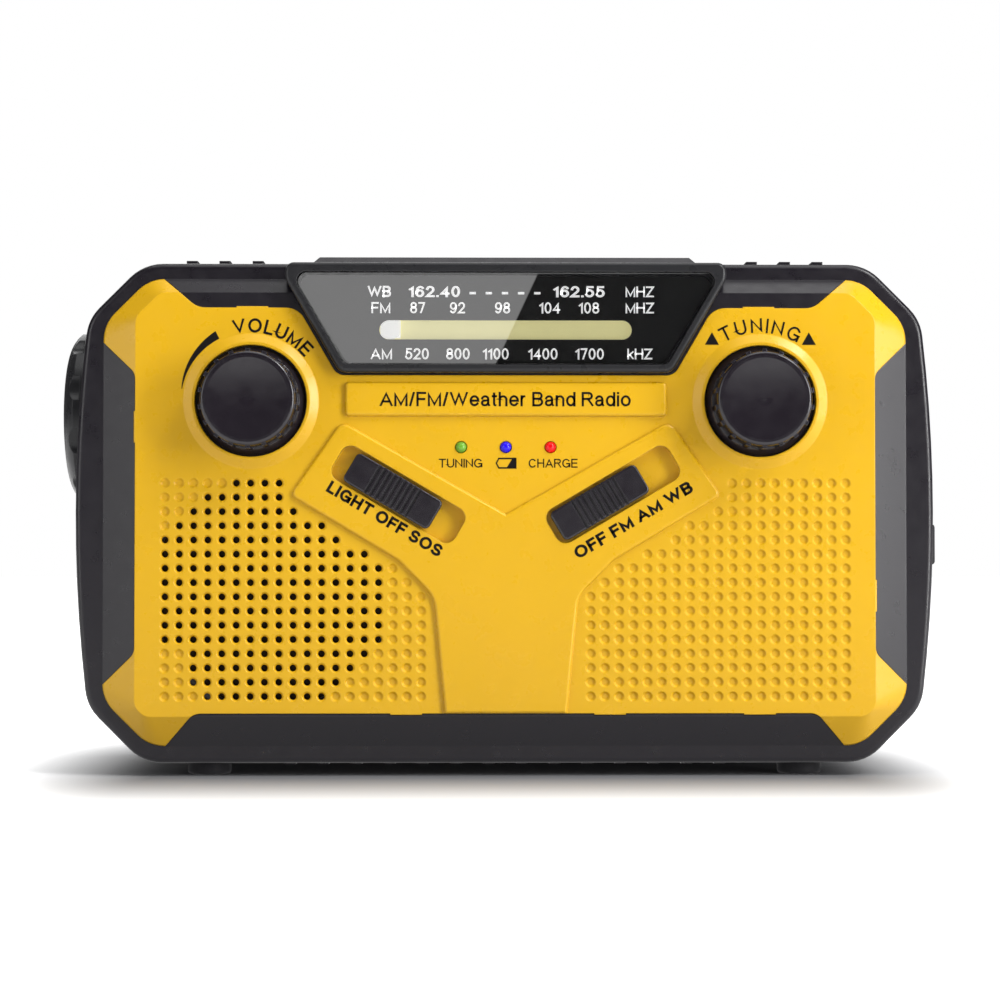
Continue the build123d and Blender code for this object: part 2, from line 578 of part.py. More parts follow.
def dial_plate():
    front = BEZEL_FRONT_Y + WINDOW_RECESS + WINDOW_THICKNESS + LEDGE_THICKNESS
    plate = slab(window_outline(RUNNING_GAP), front, PLATE_BACK_Y)
    slot = Pos(0, SLOT_Z) * SlotOverall(2 * SLOT_HALF_LENGTH, SLOT_HEIGHT)
    return plate - slab(slot, front - 1, front + 2)


def dial_backing():
    """The pale strip behind the slot, with an end foot at each side that touches the dial plate."""
    front, back = PLATE_BACK_Y + 1.4, PLATE_BACK_Y + 2.2
    body = block(-29, 29, front, back, 81.2, 88.8)
    for side in (-1, 1):
        body += block(side * 28 - 1, side * 28 + 1, PLATE_BACK_Y, back, 81.2, 88.8)
    return body


def dial_pointer():
    """A flag in the slot, a leaf behind the dial plate and a clip on the cord, all in one piece."""
    half = POINTER_WIDTH / 2
    flag = Pos(0, SLOT_Z) * RectangleRounded(POINTER_WIDTH, POINTER_HEIGHT, 1.6)
    body = slab(flag, PLATE_BACK_Y - 0.6, PLATE_BACK_Y + 0.9)
    body += block(-half, half, PLATE_BACK_Y + 0.2, PLATE_BACK_Y + 0.9, SLOT_Z - 1.5, 90.2)
    body += block(-half, half, PLATE_BACK_Y + 0.2, CORD_Y + 1, 89.2, 90.2)
    body += block(-half, half, CORD_Y - 1, CORD_Y + 1, 84.4, 90.2)
    body -= along_x(0, CORD_Y, KNOB_Z + DRUM_R) * rod(CORD_R + RUNNING_GAP, -10, 10)
    return Pos(POINTER_REST_X, 0, 0) * body


def idler_place():
    return at_front(IDLER_X, KNOB_Z + DRUM_R - IDLER_R, CORD_Y)


def dial_cord():
    """An endless cord: level along the top from idler to drum, then back along the lower tangent."""
    tilt = Vector(KNOB_X - IDLER_X, IDLER_R - DRUM_R).get_angle(Vector(1, 0))
    drum = Vector(KNOB_X, KNOB_Z)
    idler = Vector(IDLER_X, KNOB_Z + DRUM_R - IDLER_R)

    def on_circle(centre, radius, degrees):
        return centre + Vector(radius * cos(radians(degrees)), radius * sin(radians(degrees)))

    lower = -2 * tilt - 90
    edges = [
        Line(on_circle(idler, IDLER_R, 90), on_circle(drum, DRUM_R, 90)),
        ThreePointArc(
            on_circle(drum, DRUM_R, 90), on_circle(drum, DRUM_R, -tilt), on_circle(drum, DRUM_R, lower)
        ),
        Line(on_circle(drum, DRUM_R, lower), on_circle(idler, IDLER_R, lower)),
        ThreePointArc(
            on_circle(idler, IDLER_R, lower),
            on_circle(idler, IDLER_R, 180 - tilt),
            on_circle(idler, IDLER_R, 90),
        ),
    ]
    path = Wire(edges)
    section = Plane(origin=path @ 0, z_dir=path % 0) * Circle(CORD_R)
    return Pos(0, CORD_Y, 0) * Rot(90, 0, 0) * sweep(section, path=path)


def pulley(outer, groove, half_width, bore):
    body = rod(outer, -half_width, half_width) - tube(outer + 1, groove, -0.45, 0.45)
    return body - rod(bore, -half_width - 1, half_width + 1)


def dial_drum():
    drum = pulley(DRUM_R + 0.9, DRUM_R - CORD_R - RUNNING_GAP, 1.6, SHAFT_R)
    for index in range(4):
        drum -= Rot(0, 0, 45 + 90 * index) * Pos(8, 0, 0) * rod(2.6, -2, 2)
    return at_front(KNOB_X, KNOB_Z, CORD_Y) * drum


def idler_pulley():
    return idler_place() * pulley(IDLER_R + 0.7, IDLER_R - CORD_R - RUNNING_GAP, 1.5, 1.0 + RUNNING_GAP)


def idler_pin():
    return idler_place() * (rod(1.0, -1.9, CORD_Y - FRONT_WALL_BACK_Y) + rod(1.9, -2.3, -1.7))


# ---- Knobs and the parts behind them ----
def knob():
    body = rod(KNOB_R, KNOB_BACK, KNOB_HEIGHT)
    body = fillet(body.edges().sort_by(Axis.Z)[-1], 0.7)
    body += turned([
        (0, KNOB_BACK), (KNOB_SKIRT_R, KNOB_BACK), (KNOB_SKIRT_R, 0),
        (KNOB_SKIRT_TOP_R, KNOB_SKIRT_TOP), (0, KNOB_SKIRT_TOP),
    ])
    for index in range(KNOB_RIBS):
        rib = block(
            KNOB_R - 0.6, KNOB_R + KNOB_RIB_PROUD, -KNOB_RIB_WIDTH / 2, KNOB_RIB_WIDTH / 2,
            0.1, KNOB_HEIGHT - 0.5,
        )
        body += Rot(0, 0, 360 / KNOB_RIBS * (index + 0.5)) * rib
    dish_edge_r = KNOB_R - 1.2
    dish_r = (dish_edge_r ** 2 + KNOB_DISH_DEPTH ** 2) / (2 * KNOB_DISH_DEPTH)
    body -= Pos(0, 0, KNOB_HEIGHT - KNOB_DISH_DEPTH + dish_r) * Sphere(dish_r)
    return body - rod(SHAFT_R, KNOB_BACK - 1, 6)


def control_shaft():
    return rod(SHAFT_R, -16, 6)


def shaft_socket():
    return rod(SHAFT_R + RUNNING_GAP, -16.5, -12)


def tuning_capacitor():
    body = block(-10, 10, -10, 10, FACE_Y - BOARD_FRONT_Y, -13)
    return at_front(KNOB_X, KNOB_Z) * (body - shaft_socket())


def volume_potentiometer():
    body = rod(8, FACE_Y - BOARD_FRONT_Y, -14) + rod(4.2, -15, -12.5)
    return at_front(-KNOB_X, KNOB_Z) * (body - shaft_socket())


# ---- Slide switches and lamps ----
def switch_cap():
    top = FACE_Y - CAP_FRONT_Y
    bottom = FACE_Y - SWITCH_FLOOR_Y + 0.1
    outline = RectangleRounded(CAP_LENGTH, CAP_WIDTH, CAP_CORNER_R)
    body = Pos(0, 0, bottom) * extrude(outline, amount=top - bottom)
    body = fillet(body.faces().sort_by(Axis.Z)[-1].edges(), 0.35)
    for index in range(CAP_RIBS + 1):
        x = CAP_RIB_PITCH * (index - CAP_RIBS / 2)
        body -= Pos(x, 0, top) * Box(0.5, CAP_WIDTH + 1, 0.9)
    return body + block(-STEM_LENGTH / 2, STEM_LENGTH / 2, -STEM_WIDTH / 2, STEM_WIDTH / 2, -6.2, bottom)


def light_switch_cap():
    return switch_place(-1) * Pos(LIGHT_MIDDLE, 0, 0) * switch_cap()


def band_switch_cap():
    return switch_place(1) * Pos(-BAND_TRAVEL / 2, 0, 0) * switch_cap()


def slide_switches():
    length, width, height = SWITCH_BODY
    front = FACE_Y - FRONT_WALL_BACK_Y
    body = block(-length / 2, length / 2, -width / 2, width / 2, front - height, front)
    body -= Pos(0, 0, front) * Box(BAND_TRAVEL + STEM_LENGTH + 0.8, STEM_WIDTH + 0.4, 7)
    return [switch_place(side) * body for side in (-1, 1)]


def led(index):
    front = FACE_Y - FRONT_WALL_BACK_Y
    body = rod(LED_R, front - 2, -0.4) + Pos(0, 0, -0.4) * Sphere(LED_R)
    return at_front(index * LED_X, LED_Z) * (body + rod(LED_R + 0.4, front - 2, front))


# ---- Speaker ----
def speaker_cloth():
    return at_front(SPEAKER_X, SPEAKER_Z) * rod(SPEAKER_OPENING_R - 0.1, -1.9, -1.6)


def speaker_frame():
    frame = turned([
        (SPEAKER_R, -3.6), (SPEAKER_R, -4.8), (22.0, -4.8), (12.0, -13.0), (12.0, -14.2),
        (4.0, -14.2), (4.0, -13.2), (11.2, -13.2), (21.2, -4.6), (21.2, -3.6),
    ])
    return at_front(SPEAKER_X, SPEAKER_Z) * frame


def speaker_cone():
    cone = turned([
        (21.2, -3.6), (21.2, -4.2), (19.0, -4.6), (6.0, -10.8), (6.0, -12.2),
        (5.5, -12.2), (5.5, -10.2), (0.0, -9.0), (0.0, -8.6), (6.0, -10.0), (19.0, -4.0), (19.6, -3.6),
    ])
    return at_front(SPEAKER_X, SPEAKER_Z) * cone


def speaker_magnet():
    return at_front(SPEAKER_X, SPEAKER_Z) * rod(11.0, -19.5, -14.2)


# ---- Torch ----
def torch_place():
    return at_left(TORCH_SEAT_X, 0, TORCH_Z)


def torch_bezel():
    reach = TORCH_SEAT_X - TORCH_END_X
    shoulder_r, shoulder_z = TORCH_SHOULDER
    inner_r = TORCH_LENS_R + RUNNING_GAP
    side = ThreePointArc((TORCH_R, 0, TORCH_SKIRT), (shoulder_r, 0, shoulder_z), (TORCH_OPENING_R, 0, reach))
    rest = Polyline(
        (TORCH_OPENING_R, 0, reach),
        (TORCH_OPENING_R, 0, 0),
        (TORCH_R, 0, 0),
        (TORCH_R, 0, TORCH_SKIRT),
    )
    ring = revolve(make_face(Wire([side] + rest.edges())), axis=Axis.Z)
    for index in range(TORCH_SCALLOPS):
        scallop = Pos(TORCH_R + SCALLOP_R - SCALLOP_DEPTH, 0, 0) * rod(SCALLOP_R, 0.8, reach + 1)
        ring -= Rot(0, 0, 360 / TORCH_SCALLOPS * index) * scallop
    ring += tube(TORCH_BARREL_R - RUNNING_GAP, inner_r, -TORCH_BARREL_LENGTH, 0)
    return torch_place() * (ring - rod(inner_r, -TORCH_BARREL_LENGTH - 1, reach - TORCH_LIP))


def torch_lens():
    lip_back = TORCH_SEAT_X - TORCH_END_X - TORCH_LIP
    return torch_place() * rod(TORCH_LENS_R, lip_back - TORCH_LENS_THICKNESS, lip_back)


def torch_reflector():
    front = TORCH_SEAT_X - TORCH_END_X - TORCH_LIP - TORCH_LENS_THICKNESS
    rim, throat, waist = TORCH_LENS_R - 2 * RUNNING_GAP, 3.3, (9.4, -4.2)
    outer = ThreePointArc((rim, 0, front), (waist[0], 0, waist[1]), (throat, 0, REFLECTOR_BACK))
    inner = ThreePointArc(
        (throat - REFLECTOR_WALL, 0, REFLECTOR_BACK),
        (waist[0] - REFLECTOR_WALL, 0, waist[1] + REFLECTOR_WALL / 2),
        (rim - REFLECTOR_WALL, 0, front),
    )
    back = Line((throat, 0, REFLECTOR_BACK), (throat - REFLECTOR_WALL, 0, REFLECTOR_BACK))
    lip = Line((rim - REFLECTOR_WALL, 0, front), (rim, 0, front))
    return torch_place() * revolve(make_face(Wire([outer, back, inner, lip])), axis=Axis.Z)


def torch_led():
    dome_r, dome_z, board_back = 2.4, REFLECTOR_BACK + 1.8, REFLECTOR_BACK - 1.2
    dome = rod(dome_r, REFLECTOR_BACK - 0.1, dome_z) + Pos(0, 0, dome_z) * Sphere(dome_r)
    return torch_place() * (rod(TORCH_LENS_R - RUNNING_GAP, board_back, REFLECTOR_BACK) + dome)


# ---- Solar panel ----
def solar_pocket(border, top):
    half_width, half_depth = SOLAR_HALF_WIDTH - border, SOLAR_HALF_DEPTH - border
    return block(-half_width, half_width, -half_depth, half_depth, SOLAR_TOP - SOLAR_POCKET, top)


def solar_frame():
    frame = block(
        -SOLAR_HALF_WIDTH, SOLAR_HALF_WIDTH, -SOLAR_HALF_DEPTH, SOLAR_HALF_DEPTH, TOP_Z, SOLAR_TOP
    )
    frame = chamfer(frame.faces().sort_by(Axis.Z)[-1].edges(), SOLAR_EDGE)
    return frame - solar_pocket(SOLAR_BORDER, SOLAR_TOP + 1)


def solar_cell():
    return solar_pocket(SOLAR_BORDER + 0.1, SOLAR_TOP - SOLAR_POCKET + SOLAR_CELL_THICKNESS)


# ---- Port cover and sockets on the right side ----
def port_cover():
    bottom, top = PORT_Z - PORT_HALF_HEIGHT, PORT_Z + PORT_HALF_HEIGHT
    flap = block(PORT_FLOOR_X + 0.1, PORT_OUTER_X, PORT_FRONT_Y, PORT_HINGE_Y, bottom, top)
    flap = fillet(flap.faces().sort_by(Axis.X)[-1].edges().sort_by(Axis.Y)[:-1], 0.6)
    tab_front, tab_back = PORT_FRONT_Y + 0.8, PORT_FRONT_Y + 3.6
    tab = block(PORT_OUTER_X - 0.5, PORT_TAB_X, tab_front, tab_back, PORT_TAB_BOTTOM, PORT_TAB_TOP)
    tab = fillet(tab.faces().sort_by(Axis.X)[-1].edges(), 0.9)
    barrel = Pos(PORT_HINGE_X, PORT_HINGE_Y, 0) * rod(PORT_HINGE_R, bottom, top)
    return flap + tab + barrel


def socket(z, size, depth, mouth):
    """A metal socket shell that opens to the right and stands on the circuit board."""
    width, height = size
    right = PORT_FLOOR_X - 0.1
    front, back = SOCKET_Y - width / 2, SOCKET_Y + width / 2
    body = block(right - depth, right, front, back, z - height / 2, z + height / 2)
    body -= Pos(right, SOCKET_Y, z) * Box(2 * depth - 2, width - 2 * mouth, height - 2 * mouth)
    foot = block(right - depth, right - depth + 3, back - 0.5, BOARD_FRONT_Y, z - 2, z + 2)
    return body + foot


def usb_socket():
    body = socket(USB_Z, USB_SIZE, 11.5, 0.4)
    right = PORT_FLOOR_X - 0.1
    return body + block(right - 11, right - 1, SOCKET_Y - 0.2, SOCKET_Y + 1.4, USB_Z - 5.2, USB_Z + 5.2)


def micro_usb_socket():
    body = socket(MICRO_Z, MICRO_SIZE, 10.5, 0.4)
    right = PORT_FLOOR_X - 0.1
    return body + block(right - 10, right - 1, SOCKET_Y - 0.3, SOCKET_Y + 0.3, MICRO_Z - 2.6, MICRO_Z + 2.6)


def headphone_jack():
    right = PORT_FLOOR_X - WALL
    body = block(right - 9, right, SOCKET_Y - 2.5, SOCKET_Y + 2.5, JACK_Z - 2.5, JACK_Z + 2.5)
    body += block(right - 9, right - 6, SOCKET_Y, BOARD_FRONT_Y, JACK_Z - 2, JACK_Z + 2)
    body += along_x(right - 1, SOCKET_Y, JACK_Z) * rod(JACK_R - RUNNING_GAP, 1, 1 + WALL - 0.1)
    return body - along_x(right - 8, SOCKET_Y, JACK_Z) * rod(JACK_BORE_R, 0, 20)


def side_sockets():
    return [usb_socket(), micro_usb_socket(), headphone_jack()]


# ---- Electronics and batteries ----
def circuit_board():
    outline = make_face(Polyline(*BOARD_CORNERS, close=True))
    return slab(outline, BOARD_FRONT_Y, BOARD_FRONT_Y + BOARD_THICKNESS)


def ferrite_antenna():
    """The ferrite rod and the coil wound round it."""
    place = along_x(0, 8, 86)
    return [place * rod(4.0, -20, 45), place * tube(5.2, 4.0, 5, 25)]


def rechargeable_battery():
    back = BOARD_FRONT_Y + BOARD_THICKNESS
    body = block(26, 60, back, back + 6, 56, 79)
    return fillet(body.edges().filter_by(Axis.X), 1.5)


def cell_heights():
    return [CELL_Z + CELL_PITCH * index for index in (-1, 0, 1)]


def battery_cells():
    cells = []
    for z in cell_heights():
        cell = rod(CELL_R, -CELL_LENGTH / 2, CELL_LENGTH / 2)
        cell = fillet(cell.edges(), 0.5) + rod(2.0, 0, CELL_LENGTH / 2 + 1)
        cells.append(along_x(CELL_X, CELL_Y, z) * cell)
    return cells


def battery_contacts():
    """A coil spring at one end of each cell and a flat plate at the other."""
    contacts = []
    left_gap = CELL_X - CELL_LENGTH / 2 - BAY_X0
    right_start = CELL_X + CELL_LENGTH / 2 + 1
    for z in cell_heights():
        path = Helix(pitch=0.85, height=left_gap - 0.9, radius=2.6)
        section = Plane(origin=path @ 0, z_dir=path % 0) * Circle(0.28)
        spring = Pos(0, 0, 0.5) * sweep(section, path=path) + rod(3.2, 0, 0.4)
        contacts.append(along_x(BAY_X0, CELL_Y, z) * spring)
        contacts.append(block(right_start, BAY_X1, CELL_Y - 3.5, CELL_Y + 3.5, z - 3.5, z + 3.5))
    return contacts


def battery_door():
    hinge_z = BAY_Z0 - 0.1
    front = REAR_Y - DOOR_THICKNESS + 0.05
    door = block(BAY_X0 - 1.1, BAY_X1 + 1.1, front, REAR_Y - 0.05, hinge_z, BAY_Z1 + 1.1)
    for index in range(5):
        z = BAY_Z1 - 3.0 - 1.6 * index
        door -= block(CELL_X - 7, CELL_X + 7, REAR_Y - 0.6, REAR_Y + 1, z - 0.4, z + 0.4)
    radius = (REAR_Y - 0.05 - front) / 2
    return door + along_x(0, front + radius, hinge_z) * rod(radius, BAY_X0 - 1.1, BAY_X1 + 1.1)


# ---- Crank and gears ----
def gear(teeth, width):
    """A spur gear with straight-flanked teeth, the first of them along local x."""
    pitch_r = MODULE * teeth / 2
    root_r, tip_r = pitch_r - 1.25 * MODULE, pitch_r + 0.95 * MODULE
    spacing = 2 * pi / teeth
    points = []
    for index in range(teeth):
        middle = index * spacing
        for radius, share in ((root_r, -0.31), (tip_r, -0.12), (tip_r, 0.12), (root_r, 0.31)):
            angle = middle + share * spacing
            points.append((radius * cos(angle), radius * sin(angle)))
    return extrude(make_face(Polyline(*points, close=True)), amount=width)


def compound_place():
    distance = MODULE * (CRANK_TEETH + PINION_TEETH) / 2
    return CRANK_X + distance, CRANK_Z


def generator_place():
    x, z = compound_place()
    distance = MODULE * (WHEEL_TEETH + PINION_TEETH) / 2
    angle = radians(GENERATOR_ANGLE)
    return x + distance * cos(angle), z + distance * sin(angle)


def crank_gear():
    body = gear(CRANK_TEETH, GEAR_WIDTH) - rod(SHAFT_R, -1, GEAR_WIDTH + 1)
    for index in range(6):
        body -= Rot(0, 0, 60 * index) * Pos(13.5, 0, 0) * rod(4.5, -1, GEAR_WIDTH + 1)
    return at_front(CRANK_X, CRANK_Z, PINION_FRONT_Y + GEAR_WIDTH) * body


def compound_gear():
    x, z = compound_place()
    half_tooth = 180 / PINION_TEETH
    step = PINION_FRONT_Y - WHEEL_FRONT_Y
    body = Rot(0, 0, half_tooth) * gear(PINION_TEETH, GEAR_WIDTH)
    body += Pos(0, 0, step) * gear(WHEEL_TEETH, GEAR_WIDTH) + rod(3.5, 0, step + 1)
    body -= rod(1.5 + RUNNING_GAP, -1, 20)
    return at_front(x, z, PINION_FRONT_Y + GEAR_WIDTH) * body


def compound_axle():
    x, z = compound_place()
    return at_front(x, z, 0) * rod(1.5, -(DISH_FLOOR_Y - 2), -PLATE_Y)


def generator_pinion():
    x, z = generator_place()
    half_tooth = 180 / PINION_TEETH
    body = Rot(0, 0, half_tooth) * gear(PINION_TEETH, GEAR_WIDTH)
    return at_front(x, z, WHEEL_FRONT_Y + GEAR_WIDTH) * (body + rod(1.0, 0, 9))


def generator():
    x, z = generator_place()
    body = rod(GENERATOR_R, -PLATE_Y, 2.6) - rod(1.0 + RUNNING_GAP, -20, 2)
    return at_front(x, z, 0) * fillet(body.edges().sort_by(Axis.Z)[-1], 1.0)


def gear_plate():
    """A steel plate that carries the generator and the front ends of the axles on four posts."""
    outline = Pos(-14, 45.5) * RectangleRounded(84, 61, 4)
    plate = slab(outline, PLATE_Y, PLATE_Y + PLATE_THICKNESS)
    for angle in (45, 135, 225, 315):
        x = CRANK_X + POST_RADIUS * cos(radians(angle))
        z = CRANK_Z + POST_RADIUS * sin(radians(angle))
        plate += at_front(x, z, DISH_FLOOR_Y - 2) * rod(2.0, 0, DISH_FLOOR_Y - 2 - PLATE_Y)
    generator_x, generator_z = generator_place()
    compound_x, compound_z = compound_place()
    plate -= at_front(CRANK_X, CRANK_Z, 20) * rod(SHAFT_R + RUNNING_GAP, 0, 20)
    plate -= at_front(compound_x, compound_z, 20) * rod(1.5, 0, 20)
    return plate - at_front(generator_x, generator_z, 20) * rod(3.0, 0, 20)


def crank_shaft():
    return at_front(CRANK_X, CRANK_Z, ARM_BACK_Y) * rod(SHAFT_R, 0, ARM_BACK_Y - PLATE_Y + 0.5)


def arm_place():
    """Local x runs from the crank's axis towards the handle."""
    return at_front(CRANK_X, CRANK_Z, HANDLE_Y)


def crank_arm():
    front, back = HANDLE_Y - ARM_BACK_Y, HANDLE_Y - ARM_FRONT_Y
    half = ARM_WIDTH / 2
    end_x = CRANK_RADIUS + 4.5
    bar = extrude(Pos(end_x / 2, 0) * RectangleRounded(end_x, ARM_WIDTH, 2.0), amount=back - front)
    arm = Pos(0, 0, front) * bar + rod(8.0, front, back)
    arm = fillet(arm.edges().group_by(Axis.Z)[0], 0.6)
    arm -= block(CRANK_RADIUS - 22.5, end_x + 5, -HANDLE_R - 0.2, HANDLE_R + 0.2, -20, 20)
    arm -= rod(SHAFT_R, -20, 20)
    pin_hole = Pos(CRANK_RADIUS, 0, 0) * Rot(90, 0, 0) * rod(HANDLE_PIN_R, -half - 1, half + 1)
    return arm_place() * (arm - pin_hole)


def crank_handle_pin():
    half = ARM_WIDTH / 2
    return arm_place() * Pos(CRANK_RADIUS, 0, 0) * Rot(90, 0, 0) * rod(HANDLE_PIN_R, -half, half)


def handle_place():
    """Local z runs along the folded handle, from the pin back towards the hub."""
    return arm_place() * Pos(CRANK_RADIUS, 0, 0) * Rot(0, -90, 0)


def crank_spindle():
    knuckle = Rot(90, 0, 0) * rod(4.2, -HANDLE_R, HANDLE_R)
    end = 4.4 + HANDLE_LENGTH
    body = knuckle + rod(SPINDLE_R, 0, end + 0.2) + rod(3.2, end + 0.15, end + 0.9)
    return handle_place() * (body - Rot(90, 0, 0) * rod(HANDLE_PIN_R + RUNNING_GAP, -10, 10))


def crank_knob():
    body = rod(HANDLE_R, 4.4, 4.4 + HANDLE_LENGTH)
    body = fillet(body.edges().filter_by(GeomType.CIRCLE), 0.9)
    return handle_place() * (body - rod(SPINDLE_R + RUNNING_GAP, 0, 40))


# ---- Rod antenna ----
def antenna_base():
    floor = CHANNEL_FLOOR_Z
    body = rod(3.6, floor + 0.05, floor + 1.2) + rod(ANTENNA_STEM_R, floor - 3.5, floor + 0.5)
    axis_z = ANTENNA_Z
    for side in (-1, 1):
        inner, outer = side * (KNUCKLE_WIDTH / 2 + RUNNING_GAP), side * 3.1
        y0, y1 = min(inner, outer), max(inner, outer)
        body += block(-3.0, 3.0, y0, y1, floor + 1, axis_z)
        body += Pos(0, 0, axis_z) * Rot(90, 0, 0) * rod(3.0, y0, y1)
    body += Pos(0, 0, axis_z) * Rot(90, 0, 0) * rod(1.0, -3.1, 3.1)
    return Pos(ANTENNA_X, ANTENNA_Y, 0) * body


def antenna_place():
    """Local z runs out along the stowed rod, to the left."""
    return at_left(ANTENNA_X, ANTENNA_Y, ANTENNA_Z)


def antenna_tube():
    outer, inner = SECTION_RADII[0], SECTION_RADII[1] + RUNNING_GAP
    half = KNUCKLE_WIDTH / 2
    body = rod(outer, TUBE_START, TUBE_START + SECTION_LENGTH) - rod(inner, TUBE_START + 3.5, 200)
    body += Rot(90, 0, 0) * rod(KNUCKLE_R, -half, half) + block(-half, half, -half, half, 0, TUBE_START + 1)
    return antenna_place() * (body - Rot(90, 0, 0) * rod(1.0 + RUNNING_GAP, -5, 5))


def antenna_section(index):
    start = TUBE_START + 3.6 + 0.6 * index
    end = TUBE_START + SECTION_LENGTH + 0.6 * index
    body = rod(SECTION_RADII[index], start, end)
    if index + 1 < len(SECTION_RADII):
        body -= rod(SECTION_RADII[index + 1] + RUNNING_GAP, start + 0.5, end + 1)
    else:
        tip = rod(SECTION_RADII[0], end, end + 5)
        body += fillet(tip.edges().filter_by(GeomType.CIRCLE), 0.8)
    return antenna_place() * body


# ---- Screws and feet ----
def housing_screws():
    screws = []
    for x, z in SCREW_PLACES:
        head = rod(SCREW_HEAD_R, 0, 2)
        head = fillet(head.edges().sort_by(Axis.Z)[0], 0.6) - Box(3.2, 0.7, 1.6) - Box(0.7, 3.2, 1.6)
        screws.append(at_front(x, z, 8) * (head + rod(SCREW_R, 1.5, 15.5)))
    return screws


def rubber_feet():
    feet = []
    for x in (-FOOT_X, FOOT_X):
        for y in FOOT_PLACES_Y:
            foot = rod(FOOT_R, 0, BOTTOM_Z)
            feet.append(Pos(x, y, 0) * fillet(foot.edges().sort_by(Axis.Z)[0], 0.6))
    return feet


# ---- Export ----
def assembly():
    control = at_front(KNOB_X, KNOB_Z)
    volume = at_front(-KNOB_X, KNOB_Z)
    parts = {
        "tuning_knob": control * knob(),
        "volume_knob": volume * knob(),
        "tuning_shaft": control * control_shaft(),
        "volume_shaft": volume * control_shaft(),
        "led_green": led(-1),
        "led_blue": led(0),
        "led_red": led(1),
    }
    for index in (1, 2, 3):
        parts["antenna_section_%d" % index] = antenna_section(index)
    makers = [
        front_cover, front_housing, rear_housing, dial_bezel, dial_window, dial_plate, dial_backing,
        dial_pointer, dial_cord, dial_drum, idler_pulley, idler_pin, tuning_capacitor,
        volume_potentiometer, light_switch_cap, band_switch_cap, slide_switches, speaker_cloth,
        speaker_frame, speaker_cone, speaker_magnet, torch_bezel, torch_lens, torch_reflector,
        torch_led, solar_frame, solar_cell, port_cover, side_sockets,
        circuit_board, ferrite_antenna, rechargeable_battery, battery_cells,
        battery_contacts, battery_door, crank_gear, compound_gear, compound_axle, generator_pinion,
        generator, gear_plate, crank_shaft, crank_arm, crank_handle_pin, crank_spindle, crank_knob,
        antenna_base, antenna_tube, housing_screws, rubber_feet,
    ]
    for maker in makers:
        parts[maker.__name__] = maker()
    return parts


def write_parts():
    os.makedirs("parts", exist_ok=True)
    centre_x = (TORCH_END_X + PORT_TAB_X) / 2
    centre_y = (FACE_Y - KNOB_HEIGHT + REAR_Y) / 2
    for name, shape in assembly().items():
        solids = shape if isinstance(shape, list) else [shape]
        group = Compound(children=[Pos(-centre_x, -centre_y, 0) * solid for solid in solids])
        export_step(group, "parts/%s.step" % name)


write_parts()
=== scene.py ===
import json
import math

import bmesh
import bpy
from mathutils import Matrix, Vector

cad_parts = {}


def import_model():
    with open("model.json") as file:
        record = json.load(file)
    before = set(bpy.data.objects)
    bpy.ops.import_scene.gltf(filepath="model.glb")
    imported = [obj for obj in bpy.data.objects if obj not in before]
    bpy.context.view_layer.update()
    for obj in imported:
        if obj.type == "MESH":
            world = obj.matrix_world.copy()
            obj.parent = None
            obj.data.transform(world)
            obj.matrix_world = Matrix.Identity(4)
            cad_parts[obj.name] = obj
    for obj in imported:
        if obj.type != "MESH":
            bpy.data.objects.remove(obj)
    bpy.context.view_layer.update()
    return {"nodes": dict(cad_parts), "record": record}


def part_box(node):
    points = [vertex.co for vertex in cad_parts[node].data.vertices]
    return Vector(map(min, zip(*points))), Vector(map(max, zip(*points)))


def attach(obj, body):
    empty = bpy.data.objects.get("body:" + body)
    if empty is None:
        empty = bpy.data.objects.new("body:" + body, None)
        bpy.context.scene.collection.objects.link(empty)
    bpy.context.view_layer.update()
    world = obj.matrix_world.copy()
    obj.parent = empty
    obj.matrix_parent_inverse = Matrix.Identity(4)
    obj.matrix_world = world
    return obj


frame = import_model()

MM = 0.001
WHITE = (1, 1, 1, 1)

# ---------------------------------------------------------------- places
# In millimetres: x from the casing's centre plane and z from the floor. Angles are in degrees.
RIM_HEIGHT = 0.95                          # the knob rims stand this far in front of the cover
RELIEF = 0.8                               # height of the raised fields on the cover
cover_low, cover_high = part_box("front_cover")
CENTRE_X = (cover_low.x + cover_high.x) / 2
FACE_Y = cover_low.y + RIM_HEIGHT * MM
DIAL_PLATE_OUT = (FACE_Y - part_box("dial_plate")[0].y) / MM
KNOB_X, KNOB_Z = 48.4, 71.5
SWITCH_X, SWITCH_Z, SWITCH_ANGLE = 20.4, 53.75, 30.6

CAMERA_DISTANCE = 480.0                    # from the cover
CAMERA_X, CAMERA_Z = -8.0, 41.0
AIM_X, AIM_Z = -1.1, 52.7
SEEN_WIDTH = 190.0                         # how much of the cover's plane the picture spans
SENSOR_WIDTH = 36.0

# The painted reflection on the dial window, of an imagined bright board in the plane of the camera that is
# not in the scene. Its right edge slants.
BOARD_CORNER_X, BOARD_LOW = -5.4, 95.0
BOARD_SLANT = 0.466                        # run of the edge per rise
BOARD_REACH, BOARD_BLUR = 320.0, 0.6
PAINTED_REFLECTION_LOW, PAINTED_REFLECTION_HIGH = 0.084, 0.091


def panel(x, z, out=0.0):
    """A point of a drawing on the front; out is its distance in front of the cover, in millimetres."""
    return Vector((CENTRE_X + x * MM, FACE_Y - out * MM, z * MM))


# ---------------------------------------------------------------- materials
CLEAR_PLASTIC_IOR = 1.49


def srgb(red, green, blue):
    """A colour given in 0-255 screen values, as linear RGBA."""
    def linear(value):
        value /= 255
        return value / 12.92 if value <= 0.04045 else ((value + 0.055) / 1.055) ** 2.4
    return (linear(red), linear(green), linear(blue), 1.0)


